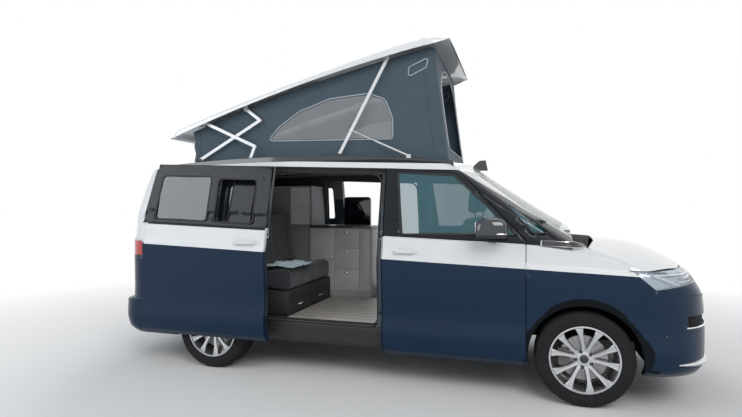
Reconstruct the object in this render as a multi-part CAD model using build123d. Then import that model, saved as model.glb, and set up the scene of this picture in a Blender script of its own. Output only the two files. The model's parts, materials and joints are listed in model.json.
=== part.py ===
from build123d import *
import os
from math import atan2, cos, hypot, pi, radians, sin, sqrt

# Camper van with sliding side doors and a pop-up roof that stands raised.
# Millimetres. +X forward, +Y left, +Z up, origin on the ground under the middle.
os.makedirs("parts", exist_ok=True)

# Driving dimensions
LENGTH = 5173.0
WIDTH = 1941.0
WHEELBASE = 3124.0
FRONT_OVERHANG = 921.0
HALF_L = LENGTH / 2
HALF_W = WIDTH / 2
AXLE_F = HALF_L - FRONT_OVERHANG
AXLE_R = AXLE_F - WHEELBASE

# Walls and gaps
DOOR_T = 65.0
WALL_T = 115.0
SEAL = 7.0
GAP = 6.0
FIT = 0.4
GLASS_T = 6.0
ROOF_T = 45.0
BONNET_T = 25.0

# Wheels
TYRE_D = 692.0
TYRE_W = 235.0
BEAD_R = 232.0
FLANGE_R = 245.0
TRACK_HALF = 820.0
AXLE_Z = TYRE_D / 2
ARCH_R = 392.0
FLARE_R = 476.0
WELL_R = 397.0
LINER_T = 6.0

# Body heights, given at the middle of the length, with the rise towards the tail
RISE = -0.040
BELT_Z = 1219.0
SPLIT_Z = 1043.0
DOOR_TOP_Z = 1781.0
FLOOR_Z = 470.0
SILL_Z = 285.0
BUMPER_Z = 600.0

# Body sections, bottom to top. Columns: height at the middle, rise per length,
# and how far the side, the nose and the tail stand in from the largest size.
LOWER = [
    (265.0, 0.0, 65.0, 41.0, 86.0),
    (320.0, 0.0, 20.0, 11.0, 31.0),
    (440.0, 0.0, 5.0, 1.0, 4.0),
    (575.0, 0.0, 20.0, 0.0, 0.0),
    (BUMPER_Z, 0.0, 20.0, 1.0, 72.0),
    (800.0, 0.0, 10.0, 14.0, 82.0),
    (SPLIT_Z, RISE, 0.0, 86.0, 86.0),
    (1085.0, RISE, 18.0, 116.0, 91.0),
    (BELT_Z, RISE, 40.0, 186.0, 101.0),
    (1350.0, RISE, 75.0, 386.0, 130.0),
]
GREENHOUSE = [
    (1150.0, RISE, 47.0, 700.0, 112.0),
    (BELT_Z, RISE, 46.0, 706.0, 110.0),
    (1500.0, RISE, 100.0, 1216.0, 166.0),
    (DOOR_TOP_Z, RISE, 172.0, 1656.0, 262.0),
    (1850.0, RISE, 196.0, 1766.0, 300.0),
    (1960.0, RISE, 290.0, 1890.0, 380.0),
]
# Plan radii. Columns: nose, front corner, tail, rear corner.
LOWER_RADII = (2600.0, 420.0, 3000.0, 210.0)
GREEN_RADII = (1750.0, 130.0, 3000.0, 150.0)
# Crowned roof across the van. Columns: station, centre height.
ROOF_CROWN = [(-2700.0, 1845.0), (-2000.0, 1885.0), (-1000.0, 1912.0), (0.0, 1908.0),
              (600.0, 1868.0), (1000.0, 1800.0), (1600.0, 1650.0)]
ROOF_SAG = 99.0
ROOF_SAG_Y = 1100.0
# Crowned bonnet. Columns: station, centre height, height at the edge.
BONNET_CROWN = [(1250.0, 1235.0, 1169.0), (1800.0, 1200.0, 1075.0), (2070.0, 1170.0, 985.0),
                (2320.0, 1085.0, 900.0), (2480.0, 975.0, 800.0), (2640.0, 790.0, 590.0)]
BONNET_EDGE_Y = 1000.0


def solids(*shapes):
    """All solids of the given shapes, in one flat list."""
    found = []
    for shape in shapes:
        if shape is None:
            continue
        if isinstance(shape, (list, tuple)):
            found += solids(*shape)
        else:
            found += list(shape.solids())
    return found


def cut(shape, *tools):
    """The shape without the tools."""
    blades = solids(*tools)
    return solids([body.cut(*blades) for body in solids(shape)])


def overlap(shape, tool):
    """What the shape and the tool have in common."""
    return solids([a.intersect(b) for a in solids(shape) for b in solids(tool)])


def fuse(*shapes):
    """One list of solids, joined where they touch."""
    every = solids(*shapes)
    if len(every) == 1:
        return every
    return solids(every[0].fuse(*every[1:]))


def mirrored(*shapes):
    """The same solids on the other side of the van."""
    return [body.mirror(Plane.XZ) for body in solids(*shapes)]


def both_sides(*shapes):
    """The solids and their mirror images."""
    return solids(*shapes) + mirrored(*shapes)


def whole(*shapes):
    """The left half and its mirror image, joined at the middle."""
    return fuse(*shapes, *mirrored(*shapes))


def save(name, *shapes):
    """One sub-part into its own file."""
    export_step(Compound(solids(*shapes)), "parts/" + name + ".step")


def prism(points, axis, low, high, radius=0.0):
    """Outline pushed along an axis. Points are (x, z) along Y, (x, y) along Z, (y, z) along X."""
    if axis == "Y":
        corners = [Vector(a, low, b) for a, b in points]
        way = Vector(0, 1, 0)
    elif axis == "Z":
        corners = [Vector(a, b, low) for a, b in points]
        way = Vector(0, 0, 1)
    else:
        corners = [Vector(low, a, b) for a, b in points]
        way = Vector(1, 0, 0)
    face = Face(Wire.make_polygon(corners, close=True))
    if radius > 0:
        face = face.fillet_2d(radius, face.vertices())
    return Solid.extrude(face, way * (high - low))


def box(x0, x1, y0, y1, z0, z1):
    """Block between two corners."""
    return Solid.make_box(x1 - x0, y1 - y0, z1 - z0, Plane(origin=(x0, y0, z0)))


def rod(start, end, radius):
    """Round bar from one point to another."""
    a = Vector(*start)
    b = Vector(*end)
    return Solid.make_cylinder(radius, (b - a).length, Plane(origin=a, z_dir=b - a))


def grown(points, amount):
    """Convex outline with every side moved outwards."""
    area = sum(p[0] * q[1] - q[0] * p[1] for p, q in zip(points, points[1:] + points[:1]))
    side = 1.0 if area > 0 else -1.0
    lines = []
    for p, q in zip(points, points[1:] + points[:1]):
        dx = q[0] - p[0]
        dz = q[1] - p[1]
        size = hypot(dx, dz)
        nx = side * dz / size
        nz = -side * dx / size
        lines.append((nx, nz, nx * p[0] + nz * p[1] + amount))
    result = []
    for (a, b, c), (d, e, f) in zip(lines[-1:] + lines[:-1], lines):
        det = a * e - b * d
        result.append(((c * e - b * f) / det, (a * f - c * d) / det))
    return result


def rise(height, x):
    """Height of a line that climbs towards the tail."""
    return height + RISE * x


def plan_ring(section, inset, radii):
    """Left half of the body's plan outline at one section: arcs at nose, tail and corners."""
    height, slope, side, nose, tail = section
    nose_r, front_r, tail_r, rear_r = [r - inset for r in radii]
    half = HALF_W - side - inset
    front = HALF_L - nose - inset
    back = -(HALF_L - tail - inset)
    fx = front - nose_r + sqrt((nose_r - front_r) ** 2 - (half - front_r) ** 2)
    rx = back + tail_r - sqrt((tail_r - rear_r) ** 2 - (half - rear_r) ** 2)
    fc = (front - nose_r, 0.0)
    rc = (back + tail_r, 0.0)

    def lift(x, y):
        return Vector(x, y, height + slope * x)

    def toward(centre, radius, angle):
        return lift(centre[0] + radius * cos(angle), centre[1] + radius * sin(angle))

    fa = atan2(half - front_r, fx - fc[0])
    ra = atan2(half - rear_r, rx - rc[0])
    corner_f = (fx, half - front_r)
    corner_r = (rx, half - rear_r)

    def arc(centre, radius, start, end):
        return Edge.make_three_point_arc(
            toward(centre, radius, start), toward(centre, radius, (start + end) / 2),
            toward(centre, radius, end))

    return Wire([
        arc(fc, nose_r, 0.0, fa),
        arc(corner_f, front_r, fa, pi / 2),
        Edge.make_line(lift(fx, half), lift(rx, half)),
        arc(corner_r, rear_r, pi / 2, ra),
        arc(rc, tail_r, ra, pi),
        Edge.make_line(lift(back, 0.0), lift(front, 0.0))])


def crowned(stations, half, floor):
    """Left half of the solid under a surface made of arcs across the van."""
    wires = []
    for x, centre, edge in stations:
        sag = centre - edge
        radius = (half ** 2 + sag ** 2) / (2 * sag)
        quarter = centre - radius + sqrt(radius ** 2 - half ** 2 / 4)
        arc = Edge.make_three_point_arc(
            Vector(x, 0, centre), Vector(x, half / 2, quarter), Vector(x, half, edge))
        down = Edge.make_line(Vector(x, half, edge), Vector(x, half, floor))
        under = Edge.make_line(Vector(x, half, floor), Vector(x, 0, floor))
        up = Edge.make_line(Vector(x, 0, floor), Vector(x, 0, centre))
        wires.append(Wire([arc, down, under, up]))
    return Solid.make_loft(wires, ruled=True)


def lower_mass(inset, drop):
    """Body below the belt with the bonnet, set in by a wall."""
    block = Solid.make_loft([plan_ring(s, inset, LOWER_RADII) for s in LOWER], ruled=True)
    stations = [(x, c - drop, e - drop) for x, c, e in BONNET_CROWN]
    under_bonnet = crowned(stations, BONNET_EDGE_Y, 200.0)
    x0 = BONNET_CROWN[0][0]
    belt = prism([(-HALF_L - 50, 200), (x0, 200), (x0, rise(BELT_Z, x0)),
                  (-HALF_L - 50, rise(BELT_Z, -HALF_L - 50))], "Y", 0.0, HALF_W + 20)
    return fuse(overlap(block, under_bonnet), overlap(block, belt))


def green_mass(inset, drop):
    """Body above the belt, set in by a wall, under the crowned roof."""
    block = Solid.make_loft([plan_ring(s, inset, GREEN_RADII) for s in GREENHOUSE], ruled=True)
    stations = [(x, c - drop, c - drop - ROOF_SAG) for x, c in ROOF_CROWN]
    return overlap(block, crowned(stations, ROOF_SAG_Y, 900.0))


# Masses that the panels are cut from: the body below the belt, and the whole of it
LOWER_OUTER = lower_mass(0.0, 0.0)
LOWER_DOOR = lower_mass(DOOR_T, BONNET_T)
LOWER_FRAME = lower_mass(DOOR_T + SEAL, BONNET_T + SEAL)
OUTER = fuse(LOWER_OUTER, green_mass(0.0, 0.0))
DOOR_IN = fuse(LOWER_DOOR, green_mass(DOOR_T, ROOF_T - 10))
FRAME_OUT = fuse(LOWER_FRAME, green_mass(DOOR_T + SEAL, ROOF_T - 5))
CAVITY = fuse(lower_mass(WALL_T, BONNET_T + 40), green_mass(WALL_T, ROOF_T))
SKIN = cut(OUTER, DOOR_IN)
FAR_Y = HALF_W + 200.0
FAR_X = HALF_L + 200.0

# Side outlines of the doors, in (x, z)
DOOR_REAR_X = 158.0
DOOR_FRONT_X = AXLE_F - 406.5
FRONT_DOOR = [(DOOR_REAR_X, 200.0), (DOOR_REAR_X - 6, rise(DOOR_TOP_Z, DOOR_REAR_X)),
              (745.0, rise(DOOR_TOP_Z, 745.0) - 9), (DOOR_FRONT_X, 1205.0), (DOOR_FRONT_X, 200.0)]
SLIDE_FRONT_X = DOOR_REAR_X - 12
SLIDE_REAR_X = SLIDE_FRONT_X - 1192.0
SLIDE_DOOR = [(SLIDE_FRONT_X - 6, 200.0), (SLIDE_FRONT_X - 6, rise(DOOR_TOP_Z, SLIDE_FRONT_X)),
              (SLIDE_REAR_X, rise(DOOR_TOP_Z, SLIDE_REAR_X)), (SLIDE_REAR_X - 85, 200.0)]
SLIDE_TRAVEL = (-1000.0, 100.0, 38.0)
# Windows, in (x, z)
FRONT_WINDOW = [(300.0, 1236.0), (246.0, 1744.0), (712.0, 1716.0), (1010.0, 1436.0), (1200.0, 1240.0)]
SLIDE_OPEN = [(-385.0, 1282.0), (-385.0, 1680.0), (12.0, 1664.0), (12.0, 1270.0)]
SLIDE_GLASS = [(-1010.0, 1310.0), (-985.0, 1718.0), (-450.0, 1700.0), (-450.0, 1290.0)]
QUARTER_REAR = [(-2130.0, 1360.0), (-2050.0, 1740.0), (-1270.0, 1722.0), (-1300.0, 1322.0)]
QUARTER_FRONT = [(1100.0, 1500.0), (1440.0, 1262.0), (1310.0, 1256.0)]
# Tailgate, in (y, z)
TAILGATE = [(-835.0, BUMPER_Z + 20), (-845.0, 1090.0), (-790.0, 1360.0), (-715.0, 1800.0), (-600.0, 1990.0),
            (600.0, 1990.0), (715.0, 1800.0), (790.0, 1360.0), (845.0, 1090.0), (835.0, BUMPER_Z + 20)]
TAIL_WINDOW = [(-700.0, 1320.0), (-640.0, 1740.0), (640.0, 1740.0), (700.0, 1320.0)]
TAILGATE_X = -2180.0
ROOF_SEAM_Y = 728.0
ROOF_SEAM_Z = 1760.0

# Tool volumes of the openings
DOOR_SHRINK = 42.0


def side_tool(outline, amount, y0=500.0, y1=FAR_Y, radius=0.0):
    """Outline seen from the side, as a block through the left wall."""
    return prism(grown(outline, amount), "Y", y0, y1, radius)


front_door_hole = side_tool(FRONT_DOOR, GAP)
slide_door_hole = side_tool(SLIDE_DOOR, GAP)
front_aperture = side_tool(FRONT_DOOR, -DOOR_SHRINK, radius=25.0)
slide_aperture = side_tool(SLIDE_DOOR, -DOOR_SHRINK, radius=6.0)
arch_front = rod((AXLE_F, 300, AXLE_Z), (AXLE_F, FAR_Y, AXLE_Z), ARCH_R)
arch_rear = rod((AXLE_R, 300, AXLE_Z), (AXLE_R, FAR_Y, AXLE_Z), ARCH_R)


def flare(axle_x):
    """Bevelled band round a wheel arch, as a cone to cut away."""
    return Solid.make_cone(ARCH_R - 8, FLARE_R + 22, 46.0,
                           Plane(origin=(axle_x, HALF_W - 36, AXLE_Z), z_dir=(0, 1, 0)))


# Body side: wall with the door frames, from the bumper to the windscreen pillar
sill_zone = box(-FAR_X, FAR_X, -FAR_Y, FAR_Y, 150.0, FLOOR_Z + 5)
inner_sill = overlap(FRAME_OUT, sill_zone)
shell = cut(OUTER, CAVITY)
FENDER_X = DOOR_FRONT_X + GAP
NOSE_OUTER = overlap(LOWER_OUTER, box(FENDER_X, FAR_X, -FAR_Y, FAR_Y, 100.0, 1400.0))
NOSE_SKIN = cut(NOSE_OUTER, LOWER_DOOR)
front_zone = prism([(DOOR_FRONT_X - 1, 100.0), (DOOR_FRONT_X - 1, rise(BELT_Z, DOOR_FRONT_X) + 2),
                    (FAR_X, rise(BELT_Z, FAR_X) + 2), (FAR_X, 100.0)], "Y", -FAR_Y, FAR_Y)
roof_zone = box(-FAR_X, FAR_X, -ROOF_SEAM_Y, ROOF_SEAM_Y, ROOF_SEAM_Z, 2200.0)
tail_zone = prism(TAILGATE, "X", -FAR_X, TAILGATE_X)
tail_hole = prism(grown(TAILGATE, GAP), "X", -FAR_X, TAILGATE_X + GAP)
tail_aperture = prism([(-690.0, 640.0), (-640.0, 1725.0), (640.0, 1725.0), (690.0, 640.0)],
                      "X", -FAR_X, TAILGATE_X + 300, 40.0)
BUMPER_SEAM_X = AXLE_R - 300.0
rear_bumper_zone = box(-FAR_X, BUMPER_SEAM_X, -FAR_Y, FAR_Y, 100.0, BUMPER_Z)
rear_bumper_hole = box(-FAR_X, BUMPER_SEAM_X + FIT, -FAR_Y, FAR_Y, 100.0, BUMPER_Z + FIT)
# Windscreen frame: a tapered block square to the glass
SCREEN_LOW = (1790.0, 1200.0)
SCREEN_TOP = (905.0, 1790.0)


def screen_tool(margin):
    """Block through the windscreen opening, narrower at the top."""
    run = Vector(SCREEN_TOP[0] - SCREEN_LOW[0], 0, SCREEN_TOP[1] - SCREEN_LOW[1])
    along = run.normalized()
    out = Vector(along.Z, 0, -along.X)
    low = Vector(SCREEN_LOW[0], 0, SCREEN_LOW[1]) - along * (-24.0 + margin)
    top = Vector(SCREEN_TOP[0], 0, SCREEN_TOP[1]) + along * (-18.0 + margin)
    base = out * -260.0
    corners = [low + base + Vector(0, -770.0 - margin, 0), low + base + Vector(0, 770.0 + margin, 0),
               top + base + Vector(0, 660.0 + margin, 0), top + base + Vector(0, -660.0 - margin, 0)]
    face = Face(Wire.make_polygon(corners, close=True))
    return Solid.extrude(face, out * 420.0)


screen_hole = screen_tool(0.0)
side_left = cut(shell, inner_sill, front_zone, NOSE_OUTER, roof_zone)
side_left = cut(side_left, cut(front_door_hole, FRAME_OUT), cut(slide_door_hole, FRAME_OUT),
                cut(tail_hole, FRAME_OUT), cut(rear_bumper_hole, FRAME_OUT))
side_left = cut(side_left, front_aperture, slide_aperture, tail_aperture, screen_hole,
                side_tool(QUARTER_REAR, 0.0), side_tool(QUARTER_FRONT, 0.0), arch_rear, flare(AXLE_R))
side_left = [s for s in side_left if s.volume > 200000.0]

# Fixed roof with its hatch and the frame that carries the tent
RIM = [(-2100.0, 1868.0), (-600.0, 1915.0), (700.0, 1840.0)]
HATCH = [(-1700.0, -520.0), (420.0, -520.0), (420.0, 520.0), (-1700.0, 520.0)]
FRAME_X = (-1960.0, 668.0)
FRAME_Y = 655.0
FRAME_W = 45.0


def rim_block(y0, y1, lift, depth):
    """Curved band along the roof rim, from the side, pushed across the van."""
    top = Edge.make_three_point_arc(*[Vector(x, y0, z + lift) for x, z in RIM])
    ends = [RIM[2], RIM[0]]
    foot = Vector(ends[0][0], y0, ends[0][1] - depth)
    down = Edge.make_line(Vector(ends[0][0], y0, ends[0][1] + lift), foot)
    back = Vector(ends[1][0], y0, ends[1][1] - depth)
    low = Edge.make_line(foot, back)
    up = Edge.make_line(back, Vector(ends[1][0], y0, ends[1][1] + lift))
    return Solid.extrude(Face(Wire([top, down, low, up])), Vector(0, y1 - y0, 0))


def ring_plan(x0, x1, half, width):
    """Rectangular frame seen from above."""
    outer = prism([(x0, -half), (x1, -half), (x1, half), (x0, half)], "Z", 1600.0, 2200.0, 60.0)
    inner = prism([(x0 + width, -half + width), (x1 - width, -half + width),
                   (x1 - width, half - width), (x0 + width, half - width)], "Z", 1600.0, 2200.0, 40.0)
    return cut(outer, inner)


roof = cut(overlap(shell, roof_zone), tail_hole, screen_hole,
           prism(HATCH, "Z", 1500.0, 2200.0, 60.0))
frame_plan = ring_plan(FRAME_X[0], FRAME_X[1], FRAME_Y, FRAME_W)
tent_frame = cut(overlap(frame_plan, rim_block(-700, 700, -5.0, 20.0)), overlap(CAVITY, roof_zone))
tent_frame = overlap(tent_frame, box(-FAR_X, FAR_X, 0, FAR_Y, 1600, 2200))
roof = cut(fuse([s for s in roof if s.volume > 200000.0], tent_frame), side_left)

# Front: bonnet, fenders, bumper with grille, lamps
BONNET = [(1808.0, 0.0), (1790.0, 400.0), (1712.0, 745.0), (1740.0, 790.0), (1975.0, 962.0), (FAR_X, 962.0)]
BONNET_LOW_Z = 1005.0
bonnet_plan = BONNET + [(x, -y) for x, y in BONNET[:0:-1]]
bonnet_tool = prism(bonnet_plan, "Z", BONNET_LOW_Z, 1400.0)
bonnet_hole = prism(grown([(1808.0, 0.0), (1712.0, 760.0), (1975.0, 962.0), (FAR_X, 962.0), (FAR_X, -962.0),
                           (1975.0, -962.0), (1712.0, -760.0)], GAP), "Z", BONNET_LOW_Z - GAP, 1400.0)
bonnet = overlap(NOSE_SKIN, bonnet_tool)
LAMP_TIP = (1980.0, 1000.0)
LAMP_CORNER = (2120.0, 877.0)
LAMP_END_Y = 560.0
BUMPER_TOP = (1993.0, 743.0)
lamp_side = [LAMP_TIP, LAMP_CORNER, (2385.0, 915.0), (FAR_X, 928.0), (FAR_X, 1000.0)]
lamp_tool = prism(lamp_side, "Y", LAMP_END_Y, FAR_Y)
lamp_hole = prism(grown(lamp_side, 1.0), "Y", LAMP_END_Y - 1.0, FAR_Y)
bumper_side = [(BUMPER_TOP[0] - 16, 100.0), BUMPER_TOP, LAMP_CORNER, (2122.0, 999.0),
               (FAR_X, 999.0), (FAR_X, 100.0)]
bumper_tool = prism(bumper_side, "Y", -FAR_Y, FAR_Y)
bumper_hole = prism([(BUMPER_TOP[0] - 17, 100.0), (BUMPER_TOP[0] - 1, 743.5), (LAMP_CORNER[0] - 1, 877.5),
                     (2121.0, 1000.5), (FAR_X, 1000.5), (FAR_X, 100.0)], "Y", -FAR_Y, FAR_Y)
LAMP_T = 45.0
headlamp = cut(overlap(NOSE_OUTER, cut(lamp_tool, bonnet_hole)), lower_mass(LAMP_T, BONNET_T))
headlamp = [s for s in headlamp if s.center().X > 1900]
intake_low = box(2300.0, FAR_X, -690.0, 690.0, 372.0, 468.0)
intake_corner = box(2150.0, FAR_X, 470.0, 880.0, 607.0, 692.0)
bumper = overlap(NOSE_SKIN, bumper_tool)
bumper = cut(bumper, lamp_hole, intake_low, intake_corner, arch_front, flare(AXLE_F))
bumper = [s for s in bumper if s.volume > 100000.0]
SCUTTLE_X = 1640.0
scuttle_zone = box(FENDER_X, 1830.0, -744.0, 744.0, 900.0, 1300.0)
fender = cut(NOSE_SKIN, bumper_hole, lamp_hole, bonnet_hole, arch_front,
             flare(AXLE_F), scuttle_zone, bonnet)
fender = [s for s in fender if s.volume > 100000.0]
scuttle = cut(overlap(NOSE_SKIN, box(SCUTTLE_X, 1830.0, -743.5, 743.5, 900.0, 1300.0)), bonnet_hole)
scuttle = [s for s in scuttle if s.volume > 50000.0]
# Door hinge pins stand in the gap between door and fender
HINGE_X = DOOR_FRONT_X + GAP / 2
HINGE_Y = HALF_W - 3.0
HINGE_R = GAP / 2 - 0.3
hinge_pin = fuse(rod((HINGE_X, HINGE_Y, 940), (HINGE_X, HINGE_Y, 1040), HINGE_R),
                 box(HINGE_X, FENDER_X, HINGE_Y - HINGE_R, HINGE_Y + HINGE_R, 940, 1040))
fender = fuse(fender, hinge_pin)

# Pull handles. Columns: rear end, front end, underside, top, distance of the skin from the middle.
HANDLE_FRONT = (231.0, 440.0, 1088.0, 1122.0, 946.0)
HANDLE_SLIDE = (-168.0, 71.0, 1100.0, 1134.0, 947.0)
HANDLE_REACH = 30.0
HANDLE_T = 13.0


def pull_handle(x0, x1, z0, z1, skin):
    """Bridge handle that stands out of the left wall."""
    outline = [(x0, skin - 12), (x0 + 26, skin + HANDLE_REACH),
               (x1 - 26, skin + HANDLE_REACH), (x1, skin - 12)]
    hollow = [(x0 + 30, skin - 20), (x0 + 46, skin + HANDLE_REACH - HANDLE_T),
              (x1 - 46, skin + HANDLE_REACH - HANDLE_T), (x1 - 30, skin - 20)]
    return cut(prism(outline, "Z", z0, z1), prism(hollow, "Z", z0 - 1, z1 + 1))


# Front doors, sliding doors, tailgate
door_left = cut(overlap(SKIN, side_tool(FRONT_DOOR, 0.0)), side_tool(FRONT_WINDOW, 0.0, radius=18.0))
door_left = fuse(door_left, pull_handle(*HANDLE_FRONT))
slide_closed = cut(overlap(SKIN, side_tool(SLIDE_DOOR, 0.0)),
                   side_tool(SLIDE_OPEN, 0.0, radius=45.0), side_tool(SLIDE_GLASS, 0.0, radius=45.0))
slide_closed = fuse(slide_closed, pull_handle(*HANDLE_SLIDE))
tailgate = cut(overlap(SKIN, tail_zone), prism(TAIL_WINDOW, "X", -FAR_X, TAILGATE_X + 100, 30.0))
tailgate = cut(tailgate, rear_bumper_hole)
SPOILER = [(-2285.0, 1862.0), (-2397.0, 1822.0), (-2397.0, 1807.0), (-2290.0, 1786.0)]
SPOILER_Y = 560.0
tailgate = fuse([s for s in tailgate if s.volume > 300000.0], prism(SPOILER, "Y", 0.0, SPOILER_Y))
rear_bumper = cut(overlap(SKIN, rear_bumper_zone), arch_rear, flare(AXLE_R))
rear_bumper = [s for s in rear_bumper if s.volume > 100000.0]


def slid(shapes, sign=1):
    """Sliding door pieces moved back, out and up along the tracks."""
    travel = Vector(SLIDE_TRAVEL[0], sign * SLIDE_TRAVEL[1], SLIDE_TRAVEL[2])
    return [s.translate(travel) for s in solids(shapes)]


sliding_door = slid(slide_closed)
save("bonnet", whole(bonnet))
save("headlamps", both_sides(headlamp))
save("front_bumper", whole(bumper))
save("front_door_left", door_left)
save("front_door_right", mirrored(door_left))
save("tailgate", whole(tailgate))
save("rear_bumper", whole(rear_bumper))

# Floor pan with sills, open below between them
floor_block = cut(overlap(FRAME_OUT, box(-FAR_X, DOOR_FRONT_X + 40, -FAR_Y, FAR_Y, SILL_Z, FLOOR_Z)),
                  box(-FAR_X, FAR_X, -760.0, 760.0, 100.0, FLOOR_Z - 70),
                  rod((AXLE_R, 640, AXLE_Z), (AXLE_R, FAR_Y, AXLE_Z), WELL_R + LINER_T + 1),
                  rod((AXLE_F, 0, AXLE_Z), (AXLE_F, FAR_Y, AXLE_Z), WELL_R + LINER_T + 1))
rear_wall = overlap(cut(FRAME_OUT, CAVITY), box(-FAR_X, -2300.0, -640.0, 640.0, FLOOR_Z - 5, BUMPER_Z + 10))
JACK_X = 900.0
JACK_Y = 800.0
JACK_DROP = 6.0
jack_pads = [box(x - 45, x + 45, JACK_Y - 22, JACK_Y + 22, SILL_Z - JACK_DROP, SILL_Z)
             for x in (-JACK_X, JACK_X)]
floor_pan = fuse([b for b in floor_block if b.volume > 1000000.0], rear_wall, jack_pads)
floor_pan = cut(floor_pan, side_left)
save("floor_pan", whole(floor_pan))

# Wheelhouses: half-round liners over the wheels
WELL_FRONT_Y = 505.0
WELL_REAR_Y = 650.0


def liner(axle_x, inner_y):
    """Shell round the top of a wheel, closed on its inner side."""
    outer = rod((axle_x, inner_y, AXLE_Z), (axle_x, HALF_W - 95, AXLE_Z), WELL_R + LINER_T)
    hollow = rod((axle_x, inner_y + LINER_T, AXLE_Z), (axle_x, HALF_W, AXLE_Z), WELL_R)
    return cut(outer, hollow, box(-FAR_X, FAR_X, 0, FAR_Y, -WELL_R, AXLE_Z + 12))


liner_front = cut(liner(AXLE_F, WELL_FRONT_Y), box(-FAR_X, FAR_X, 0, 560.0, 0, 480.0))
liner_rear = cut(liner(AXLE_R, WELL_REAR_Y), box(-FAR_X, FAR_X, 0, 700.0, -WELL_R, AXLE_Z + 62))
wheelhouses = both_sides(cut(liner_front, side_left, fender, bumper, floor_pan),
                         cut(liner_rear, side_left, floor_pan))

# Front structure: aprons, strut towers, bulkhead and scuttle round an open engine bay
BAY = (1400.0, 2230.0, 455.0)
BAY_FRONT_X = 2330.0
tub = overlap(LOWER_FRAME, box(DOOR_FRONT_X + 46, BAY_FRONT_X, -FAR_Y, FAR_Y, 400.0, 1120.0))
tub = cut(tub, box(BAY[0], BAY[1], -BAY[2], BAY[2], 300.0, 1300.0),
          box(BAY[0], BAY[1], -FAR_Y, FAR_Y, 930.0, 1300.0),
          box(BAY[1], 2400.0, -400.0, 400.0, 470.0, 860.0),
          rod((AXLE_F, WELL_FRONT_Y - 1, AXLE_Z), (AXLE_F, FAR_Y, AXLE_Z), WELL_R + LINER_T + 1))
tub = [b for b in tub if b.volume > 1000000.0]
front_structure = cut(fuse(tub, scuttle), floor_pan, side_left)
# Socket of the towing eye, behind the vent in the bumper's right corner
TOW = (BAY_FRONT_X, -560.0, 650.0)
TOW_R = 11.0
TOW_DEEP = 40.0
tow_bore = rod((TOW[0] - TOW_DEEP, TOW[1], TOW[2]), (TOW[0] + 10, TOW[1], TOW[2]), TOW_R)
front_structure = cut(whole(front_structure), tow_bore)
save("front_structure", front_structure)
save("wheelhouses", wheelhouses)
save("front_fenders", both_sides(fender))

# Glass
PANE_FIT = 0.4
pane_layer = cut(green_mass(2.0, 2.0), green_mass(2.0 + GLASS_T, 2.0 + GLASS_T))
windscreen = overlap(pane_layer, screen_tool(-PANE_FIT))
windscreen = [b for b in windscreen if b.center().X > 1000.0]
save("windscreen", whole(windscreen))


def pane(outline, radius=0.0):
    """Glass pane in the left wall."""
    return overlap(pane_layer, side_tool(outline, -PANE_FIT, radius=radius))


side_windows = solids(pane(QUARTER_FRONT), pane(QUARTER_REAR), slid(pane(SLIDE_GLASS, 44.0)))
save("side_windows", both_sides(side_windows))
front_window = pane(FRONT_WINDOW, 17.0)
save("front_window_left", front_window)
save("front_window_right", mirrored(front_window))
tail_pane = overlap(pane_layer, prism(grown(TAIL_WINDOW, -PANE_FIT), "X", -FAR_X, TAILGATE_X + 100, 30.0))
save("tailgate_window", whole([b for b in tail_pane if b.center().X < -2000.0]))

# Tail lamps wrap the rear corners
TAIL_LAMP_T = 30.0
tail_lamp_zone = box(-FAR_X, -2190.0, 862.0, FAR_Y, 1007.0, 1138.0)
tail_lamp = cut(overlap(LOWER_OUTER, tail_lamp_zone), lower_mass(TAIL_LAMP_T, TAIL_LAMP_T))
save("tail_lamps", both_sides(tail_lamp))
tail_lamp_bed = box(-FAR_X, -2189.0, 861.0, FAR_Y, 1006.0, 1139.0)
side_left = cut(side_left, cut(tail_lamp_bed, lower_mass(TAIL_LAMP_T + 1, TAIL_LAMP_T + 1)))
save("body_side_left", side_left)
save("body_side_right", mirrored(side_left))

# Wheels, built round the origin with the outer face towards +Y
# Tyre section. Columns: radius, distance from the middle plane.
TYRE_HALF = [(BEAD_R, 105.0), (250.0, 106.0), (280.0, 116.0), (300.0, TYRE_W / 2), (325.0, 112.0),
             (340.0, 98.0), (TYRE_D / 2, 78.0)]
HUB_Y = 50.0
HUB_R = 75.0
DISC_R = 165.0
DISC_Y = (15.0, 40.0)
SHAFT_R = 40.0
SHAFT_END = -55.0
SPOKE_PAIRS = 5


def turned(profile):
    """Outline in (radius, y) turned about the Y axis."""
    face = Face(Wire.make_polygon([Vector(r, y, 0) for r, y in profile], close=True))
    return solids(revolve(face, Axis.Y, 360))


def spoke(angle_hub, angle_rim):
    """One tapered spoke from the hub to the rim barrel."""
    wires = []
    # Columns: angle, radius, half width, inner face, outer face
    for angle, radius, half, low, high in [(angle_hub, 58.0, 17.0, 62.0, 86.0),
                                           (angle_rim, 150.0, 13.0, 70.0, 98.0),
                                           (angle_rim, 225.0, 13.0, 76.0, 106.0)]:
        out = Vector(cos(radians(angle)), 0, sin(radians(angle)))
        across = Vector(-sin(radians(angle)), 0, cos(radians(angle)))
        up = Vector(0, 1, 0)
        centre = out * radius
        wires.append(Wire.make_polygon([centre + across * half + up * low, centre - across * half + up * low,
                                        centre - across * half * 0.7 + up * high,
                                        centre + across * half * 0.7 + up * high], close=True))
    return Solid.make_loft(wires, ruled=True)


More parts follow.
